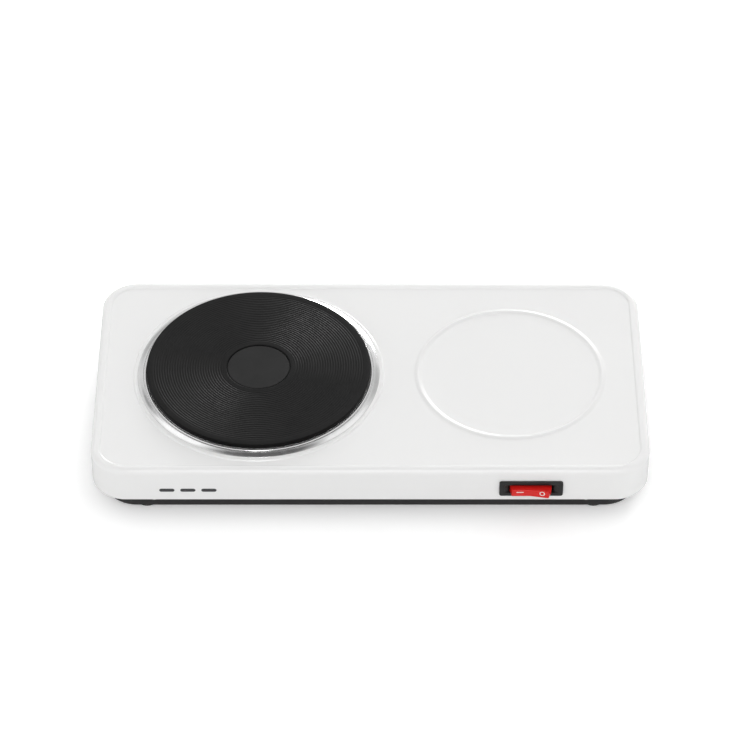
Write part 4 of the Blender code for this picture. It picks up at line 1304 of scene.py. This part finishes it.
@dataclass
class Switch:
    """The rocker switch: a black housing with its bezel, and the red rocker with its two marks."""

    pivot: Place
    bezel: tuple[float, float] = (0.050, 0.015)
    bezel_corner: float = 0.0020
    bezel_out: tuple[float, float] = (0.0035, 0.005)
    bezel_edge: float = 0.0004
    body: tuple[float, float] = (0.0388, 0.0132)
    body_corner: float = 0.0008
    cavity: tuple[float, float] = (0.0356, 0.0083)
    cavity_corner: float = 0.0006
    floor_out: float = -0.0135
    back_out: float = -0.0155
    tab_slot: tuple[float, float] = (0.0014, 0.0069)
    tabs: tuple[float, ...] = (0.0, 0.0085, -0.012)
    pin: float = 0.0015
    tilt: float = math.radians(5)
    face: float = 0.0144
    base: float = 0.0164
    height: float = 0.0065
    drop: float = 0.00055
    taper: float = 0.0003
    middle_out: float = 0.0090
    shoulder_out: float = 0.0045
    hip: tuple[float, float] = (0.0006, -0.001)
    belly: tuple[float, float] = (0.010, -0.003)
    post: tuple[float, float] = (0.0032, -0.0055)
    edge: float = 0.0005
    mouth: tuple[float, float] = (0.0418, 0.0085)
    mouth_corner: float = 0.0012
    mouth_edge: float = 0.0002
    mouth_drop: float = 0.0016
    bar: tuple[float, float] = (0.0056, 0.0008)
    bar_along: float = -0.0080
    ring_radius: float = 0.0018
    ring_stroke: float = 0.0007
    ring_along: float = 0.0093
    mark_rise: float = 0.0006
    post_bore: tuple[float, float, float] = (0.0019, -0.006, 0.0025)
    cutter_reach: float = 0.002
    ink: float = 0.00004

    def axes(self) -> Axes:
        """Along the rocker, up, and out towards the user."""
        return Axes(self.pivot, second=(0, 0, 1), third=(0, -1, 0))

    def rocker_axes(self) -> Axes:
        """The same axes, turned with the rocker at rest."""
        cos, sin = math.cos(self.tilt), math.sin(self.tilt)
        return Axes(self.pivot, (cos, -sin, 0), (0, 0, 1), (-sin, -cos, 0))

    def housing(self) -> bpy.types.Mesh:
        """The housing as one closed loft between its outlines, from the back round to the cavity's floor.

        Returns:
            The mesh.
        """
        inner, outer = self.bezel_out
        rim, body, mouth, funnel = (
            RoundedRectangle(*size, corner, side_steps=(2, 2))
            for size, corner in (
                (self.bezel, self.bezel_corner),
                (self.body, self.body_corner),
                (self.cavity, self.cavity_corner),
                (self.mouth, self.mouth_corner),
            )
        )
        turn = np.linspace(0.0, math.pi / 2, 6)
        rounded = np.stack(
            [self.bezel_edge * (1 - np.cos(turn)), outer - self.bezel_edge * (1 - np.sin(turn))], axis=1
        )
        eased = self.mouth_edge * np.stack([1 - np.sin(turn), np.cos(turn) - 1], axis=1)
        rows = [body.loop(0.0, self.back_out), body.loop(0.0, inner - GAP), body.loop(0.0, inner)]
        rows.append(rim.loop(0.0, inner))
        rows += [rim.loop(inset, out) for inset, out in rounded]
        rows += [funnel.loop(-inset, outer + out) for inset, out in eased]
        rows += [mouth.loop(0.0, outer - self.mouth_drop), mouth.loop(0.0, self.floor_out)]
        shell = Patchwork(self.axes()).add(np.stack(rows), caps=True)
        holes = Patchwork(self.axes())
        for along in self.tabs:
            slot = RoundedRectangle(*self.tab_slot, 0.0001, centre=(along, 0.0), corner_steps=1)
            holes.prism(slot, self.back_out - self.cutter_reach, self.floor_out + self.cutter_reach)
        holes.axes = Axes(self.pivot)
        holes.rod(self.pin + GAP, -self.body[1], self.body[1])
        return carve(shell.mesh("switch_case"), cut=holes)

    def rocker_loop(self) -> tuple[Array, Array]:
        """The rocker seen from above as (along, out), and the outward directions of its points.

        Returns:
            The points and the directions, each (n, 2).
        """
        end = self.middle_out + self.face * math.tan(self.tilt)
        side = [
            (self.face, end, 0.0008),
            (self.base, self.shoulder_out, 0.0012),
            (self.base - self.hip[0], self.hip[1], 0.0009),
            (*self.belly, 0.0010),
            (self.post[0], self.belly[1], 0.0005),
            (*self.post, 0.0008),
        ]
        start = (0.0, self.post[1], 0.0)
        left = [(-x, out, radius) for x, out, radius in side]
        middle = (0.0, self.middle_out, 0.010)
        loop = filleted([start, *side[::-1], middle, *left, start], steps=5, guard=0.0001)[:-1]
        ahead = unit(np.roll(loop, -1, axis=0) - loop)
        tangent = unit(ahead + np.roll(ahead, 1, axis=0))
        return loop, np.stack([tangent[:, 1], -tangent[:, 0]], axis=1)

    def rocker(self) -> bpy.types.Mesh:
        """The rocker: its outline carried from the lower to the upper side, with rounded edges.

        A row is the outline moved in by e (1 - cos t) at the height h - e + e sin t, with e the edge's
        radius and h half the height. The lower half mirrors the upper one. Both sides lean in by the
        taper from the face to the pivot.

        Returns:
            The mesh.
        """
        loop, normals = self.rocker_loop()
        turn = np.linspace(0.0, math.pi / 2, 7)
        inset = self.edge * (1 - np.cos(turn))
        rise = self.height / 2 - self.edge * (1 - np.sin(turn))
        insets = np.concatenate([inset[::-1], inset])[:, None, None]
        rises = np.concatenate([-rise[::-1], rise])[:, None, None]
        flat = loop[None] - insets * normals[None]
        narrow = self.taper * (1 - flat[..., 1:] / self.middle_out)
        heights = rises - np.sign(rises) * narrow - self.drop
        grid = np.concatenate([flat[..., :1], heights, flat[..., 1:]], axis=2)
        solid = Patchwork(self.rocker_axes()).add(grid, caps=True)
        pins = Patchwork(Axes(self.pivot))
        reach = self.cavity[1] / 2 + 0.0005
        pin = filleted(
            ((0.0, -reach, 0.0), (self.pin, -reach, 0.0003), (self.pin, reach, 0.0003), (0.0, reach, 0.0)),
            steps=3,
        )
        pins.add(turned(pin, 32))
        bore = Patchwork(self.rocker_axes()).rod(*self.post_bore)
        return carve(solid.mesh("red_rocker"), join=pins, cut=bore)

    def face_axes(self, along: float) -> Axes:
        """Axes lying on the rocker's face at that place along it.

        Args:
            along: Distance from the pivot, less than zero on the left half.

        Returns:
            The axes, with the third one leaving the face.
        """
        turned_axes = self.rocker_axes()
        first, third = np.array(turned_axes.first), np.array(turned_axes.third)
        side = math.copysign(1.0, along)
        out = self.middle_out + abs(along) * math.tan(self.tilt) + self.ink / 2
        cos, sin = math.cos(self.tilt), side * math.sin(self.tilt)
        return Axes(
            tuple(np.array(self.pivot) + along * first + out * third + (0.0, 0.0, self.mark_rise)),
            tuple(cos * first + sin * third),
            (0, 0, 1),
            tuple(-sin * first + cos * third),
        )

    def marks(self) -> None:
        """The on and off marks: a bar on the left half and a ring on the right half."""
        bar = Patchwork(self.face_axes(self.bar_along))
        section = np.array([(0.0, 0.0), (0.0, self.ink / 2), (self.ink, self.ink)])
        bar.add(RoundedRectangle(*self.bar, self.bar[1] / 2 - WELD).loft(section), caps=True)
        add_piece("on_mark", bar.mesh("on_mark"), WHITE_PRINT, "rocker")
        ring = Patchwork(self.face_axes(self.ring_along))
        near, far = self.ring_radius - self.ring_stroke / 2, self.ring_radius + self.ring_stroke / 2
        profile = np.array(
            [(far, 0.0), (far, self.ink / 2), (far - self.ink, self.ink), (near + self.ink, self.ink),
             (near, self.ink / 2), (near, 0.0)]
        )
        ring.add(turned(profile, 64), loop=True)
        add_piece("off_mark", ring.mesh("off_mark"), WHITE_PRINT, "rocker")

    def build(self) -> None:
        """Makes the housing, the rocker and its marks."""
        add_piece("switch_case", self.housing(), BLACK_PLASTIC, stands_for=["switch_housing"])
        add_piece("red_rocker", self.rocker(), RED_PLASTIC, "rocker", ["switch_rocker"])
        self.marks()


# Cord entry ---------------------------------------------------------------------------------------


@dataclass
class Gland:
    """The bush in the back skirt that the mains cord enters by, with grip ribs on its collar."""

    bore: float = 0.004
    thread: float = 0.0068
    collar: float = 0.008
    flange: tuple[float, float] = (0.0105, 0.0025)
    ribs: int = 16
    rib_depth: float = 0.0005
    segments: int = 192
    extent: Extent = field(default_factory=lambda: Extent.of("cord_gland"))
    skirt: Extent = field(default_factory=lambda: Extent.of("housing"))

    def build(self) -> None:
        """Makes the gland: its radius on the collar is r - depth |sin(n t / 2)| between two ends."""
        back = self.skirt.high[1]
        reach, tail = self.extent.high[1] - back, self.extent.low[1] - back
        far, width = self.flange
        profile = filleted(
            (
                (self.bore, tail, 0.0),
                (self.bore, reach, 0.0006),
                (0.0072, reach, 0.0005),
                (self.collar, reach - 0.0012, 0.0008),
                (self.collar, width, 0.0003),
                (far, width, 0.0006),
                (far, 0.0003, 0.0002),
                (self.thread, 0.0003, 0.0),
                (self.thread, tail, 0.0003),
                (self.bore, tail, 0.0),
            ),
            steps=5,
            guard=0.0001,
        )[:-1]
        grid = turned(profile, self.segments)
        turn = FULL_TURN * np.arange(self.segments) / self.segments
        level = profile[:, 1][:, None]
        on_collar = smoothstep(width + 0.0005, width + 0.0012, level)
        on_collar = on_collar * (1 - smoothstep(reach - 0.0016, reach - 0.0008, level))
        on_collar = on_collar * (profile[:, 0][:, None] > self.thread)
        scale = 1 - on_collar * self.rib_depth * np.abs(np.sin(self.ribs * turn / 2)) / self.collar
        grid[..., :2] *= scale[..., None]
        middle = self.extent.middle
        bush = Patchwork(Axes((middle[0], back, middle[2]), (0, 0, 1), (1, 0, 0), (0, 1, 0)))
        bush.add(grid, loop=True)
        add_piece("cord_bush", bush.mesh("cord_bush"), BLACK_PLASTIC, stands_for=["cord_gland"])


# Works inside -------------------------------------------------------------------------------------


@dataclass
class Works:
    """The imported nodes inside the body, which keep their shape and get their finish."""

    plate: Extent = field(default_factory=lambda: Extent.of("hotplate"))

    def finishes(self) -> dict[Finish, tuple[str, ...]]:
        """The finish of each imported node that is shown.

        Returns:
            For each finish, the names of its nodes.
        """
        wire = Finish(
            "nichrome", (0.33, 0.31, 0.28), 0.50, "nichrome", metallic=1.0, tone=0.15, tone_scale=120.0,
            pattern=Pattern.WOUND, pitch=0.010, relief=0.0004, centre=(*self.plate.middle[:2], 0.0),
        )
        return {
            wire: ("coil_inner", "coil_outer"),
            CERAMIC: (
                "coil_cement_inner", "coil_cement_outer", "plate_terminal_block", "terminal_block",
            ),
            ZINC: (
                "plate_cover", "clamp_bridge", "clamp_stud", "clamp_washer", "clamp_nut",
                "rocker_plunger", "plunger_spring", "block_screw_left", "block_screw_right",
                "pole_screw_neutral", "pole_screw_line", "pole_screw_earth", "earth_stud", "earth_nut",
            ),
            BRASS: (
                "plate_blade_line", "plate_blade_neutral", "cutout_blade_in", "cutout_blade_out",
                "switch_tab_line", "switch_tab_load", "switch_tab_lamp", "tab_sleeve_line",
                "tab_sleeve_load", "tab_sleeve_lamp", "pole_clamp_neutral", "pole_clamp_line",
                "pole_clamp_earth", "earth_lug",
            ),
            COPPER: ("contact_lever",),
            ALUMINISED: ("heat_shield",),
            BLACK_PLASTIC: ("thermal_cutout", "gland_nut"),
            LAMP_GLASS: ("switch_lamp",),
            BROWN_LEAD: ("lead_line",),
            GREEN_LEAD: ("lead_earth",),
            BLUE_LEAD: ("lead_lamp",),
            GLASS_SLEEVE: ("lead_switched", "lead_link", "lead_neutral"),
        }

    def build(self, nodes: dict[str, bpy.types.Object]) -> None:
        """Dresses the nodes.

        Args:
            nodes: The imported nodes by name.
        """
        for finish, names in self.finishes().items():
            for name in names:
                mesh = nodes[name].data
                mesh.materials.clear()
                mesh.materials.append(finish.material())
            LOG.info("%s on %d packed nodes", finish.name, len(names))


# Studio -------------------------------------------------------------------------------------------


@dataclass(frozen=True)
class SkyPatch:
    """A soft-edged round patch of the studio's surroundings.

    azimuth is in degrees from the back towards the right, elevation above the floor. The patch is full
    inside the near angle and gone outside the far one.
    """

    azimuth: float
    elevation: float
    near: float
    far: float
    strength: float

    def direction(self) -> Place:
        """The unit direction to the patch's middle."""
        turn, rise = math.radians(self.azimuth), math.radians(self.elevation)
        return math.sin(turn) * math.cos(rise), math.cos(turn) * math.cos(rise), math.sin(rise)


@dataclass
class Studio:
    """The pale floor, the light from all round, the key light and the camera."""

    lens: float = 161.8
    elevation: float = 43.252
    distance: float = 2.7118
    target: Place = (0.00381, 0.0, 0.04996)
    floor_radius: float = 14.0
    floor_colour: Colour = (0.95, 0.95, 0.95)
    floor_seen_glow: float = 0.27
    sky: float = 0.77
    patches: tuple[SkyPatch, ...] = (
        SkyPatch(0.0, 75.0, 9.0, 17.0, -0.64),
        SkyPatch(180.0, 50.0, 5.0, 10.0, 10.0),
        SkyPatch(-37.0, 59.0, 5.0, 12.0, 0.5),
        SkyPatch(-32.0, 46.0, 2.0, 7.0, -0.45),
        SkyPatch(-20.0, 26.0, 3.0, 9.0, -0.3),
        SkyPatch(37.0, 58.0, 5.0, 12.0, 0.3),
        SkyPatch(28.0, 40.0, 3.0, 10.0, -0.25),
    )
    key_power: float = 1.2
    key_width: float = 20.0
    key_place: Place = (0.48, 1.94, 0.60)

    def camera(self) -> None:
        """The camera, looking along +Y from above."""
        data = bpy.data.cameras.new("camera")
        data.lens = self.lens
        data.sensor_width = 36.0
        data.clip_start, data.clip_end = 0.1, 100.0
        camera = bpy.data.objects.new("camera", data)
        rise = math.radians(self.elevation)
        camera.location = (
            self.target[0],
            self.target[1] - self.distance * math.cos(rise),
            self.target[2] + self.distance * math.sin(rise),
        )
        camera.rotation_euler = (math.pi / 2 - rise, 0.0, 0.0)
        bpy.context.scene.collection.objects.link(camera)
        bpy.context.scene.camera = camera

    def floor(self) -> None:
        """A wide round floor with a faint unevenness of tone. Only the camera sees its glow."""
        grid = turned(np.array([(0.0, 0.0), (1.0, 0.0), (self.floor_radius, 0.0)]), 96)
        mesh = Patchwork().add(grid).mesh("floor")
        paper = Finish(
            "floor_paper", self.floor_colour, 0.9, specular=0.1, tone=0.003, tone_scale=4.0,
        ).material()
        nodes = Nodes(paper.node_tree)
        seen = nodes.add("ShaderNodeLightPath").outputs["Is Camera Ray"]
        glow = nodes.spread(seen, 0.0, self.floor_seen_glow, (0.0, 1.0))
        nodes.tree.links.new(glow, paper.node_tree.nodes["Principled BSDF"].inputs["Emission Strength"])
        floor = bpy.data.objects.new("floor", mesh)
        mesh.materials.append(paper)
        if mesh.polygons[0].normal.z < 0:
            mesh.flip_normals()
        bpy.context.scene.collection.objects.link(floor)

    def surroundings(self) -> None:
        """The light from all round: an even sky, plus the patches, never below zero."""
        world = bpy.data.worlds.new("studio")
        world.use_nodes = True
        bpy.context.scene.world = world
        nodes = Nodes(world.node_tree)
        ray = nodes.add("ShaderNodeTexCoord").outputs["Generated"]
        level: object = self.sky
        for patch in self.patches:
            inputs = {0: ray, 1: patch.direction()}
            dot = nodes.add("ShaderNodeVectorMath", inputs, operation="DOT_PRODUCT").outputs["Value"]
            spans = {
                "Value": dot,
                "From Min": math.cos(math.radians(patch.far)),
                "From Max": math.cos(math.radians(patch.near)),
                "To Max": patch.strength,
            }
            share = nodes.add("ShaderNodeMapRange", spans, interpolation_type="SMOOTHSTEP").outputs[0]
            level = nodes.math("ADD", level, share)
        bright = nodes.math("MAXIMUM", level, 0.0)
        colour = nodes.add("ShaderNodeCombineColor", {0: bright, 1: bright, 2: bright}).outputs[0]
        background = world.node_tree.nodes["Background"]
        nodes.tree.links.new(colour, background.inputs["Color"])

    def key(self) -> None:
        """The wide soft light, low behind the object and a little to its right."""
        data = bpy.data.lights.new("key", "SUN")
        data.angle = math.radians(self.key_width)
        data.energy = self.key_power
        light = bpy.data.objects.new("key", data)
        x, y, z = self.key_place
        light.location = self.key_place
        light.rotation_euler = (math.atan2(math.hypot(x, y), z), 0.0, math.atan2(x, -y))
        bpy.context.scene.collection.objects.link(light)

    def build(self) -> None:
        """Sets up the studio."""
        bpy.context.scene.view_settings.view_transform = "Standard"
        self.camera()
        self.floor()
        self.surroundings()
        self.key()
        LOG.info("studio ready")


# Main ---------------------------------------------------------------------------------------------


def main() -> None:
    """Loads the frame and builds the looks round it."""
    logging.basicConfig(level=logging.INFO, format="%(name)s: %(message)s")
    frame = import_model()
    pivot = next(joint["pos_m"] for joint in frame["joints"] if joint["name"] == "rocker_tilt")
    Studio().build()
    Body().build()
    SkirtMark().build()
    Tray().build()
    Foot().build()
    TrayScrew().build()
    HotPlate().build()
    Switch(tuple(pivot)).build()
    Gland().build()
    Works().build(frame["nodes"])


if __name__ == "__main__":
    main()
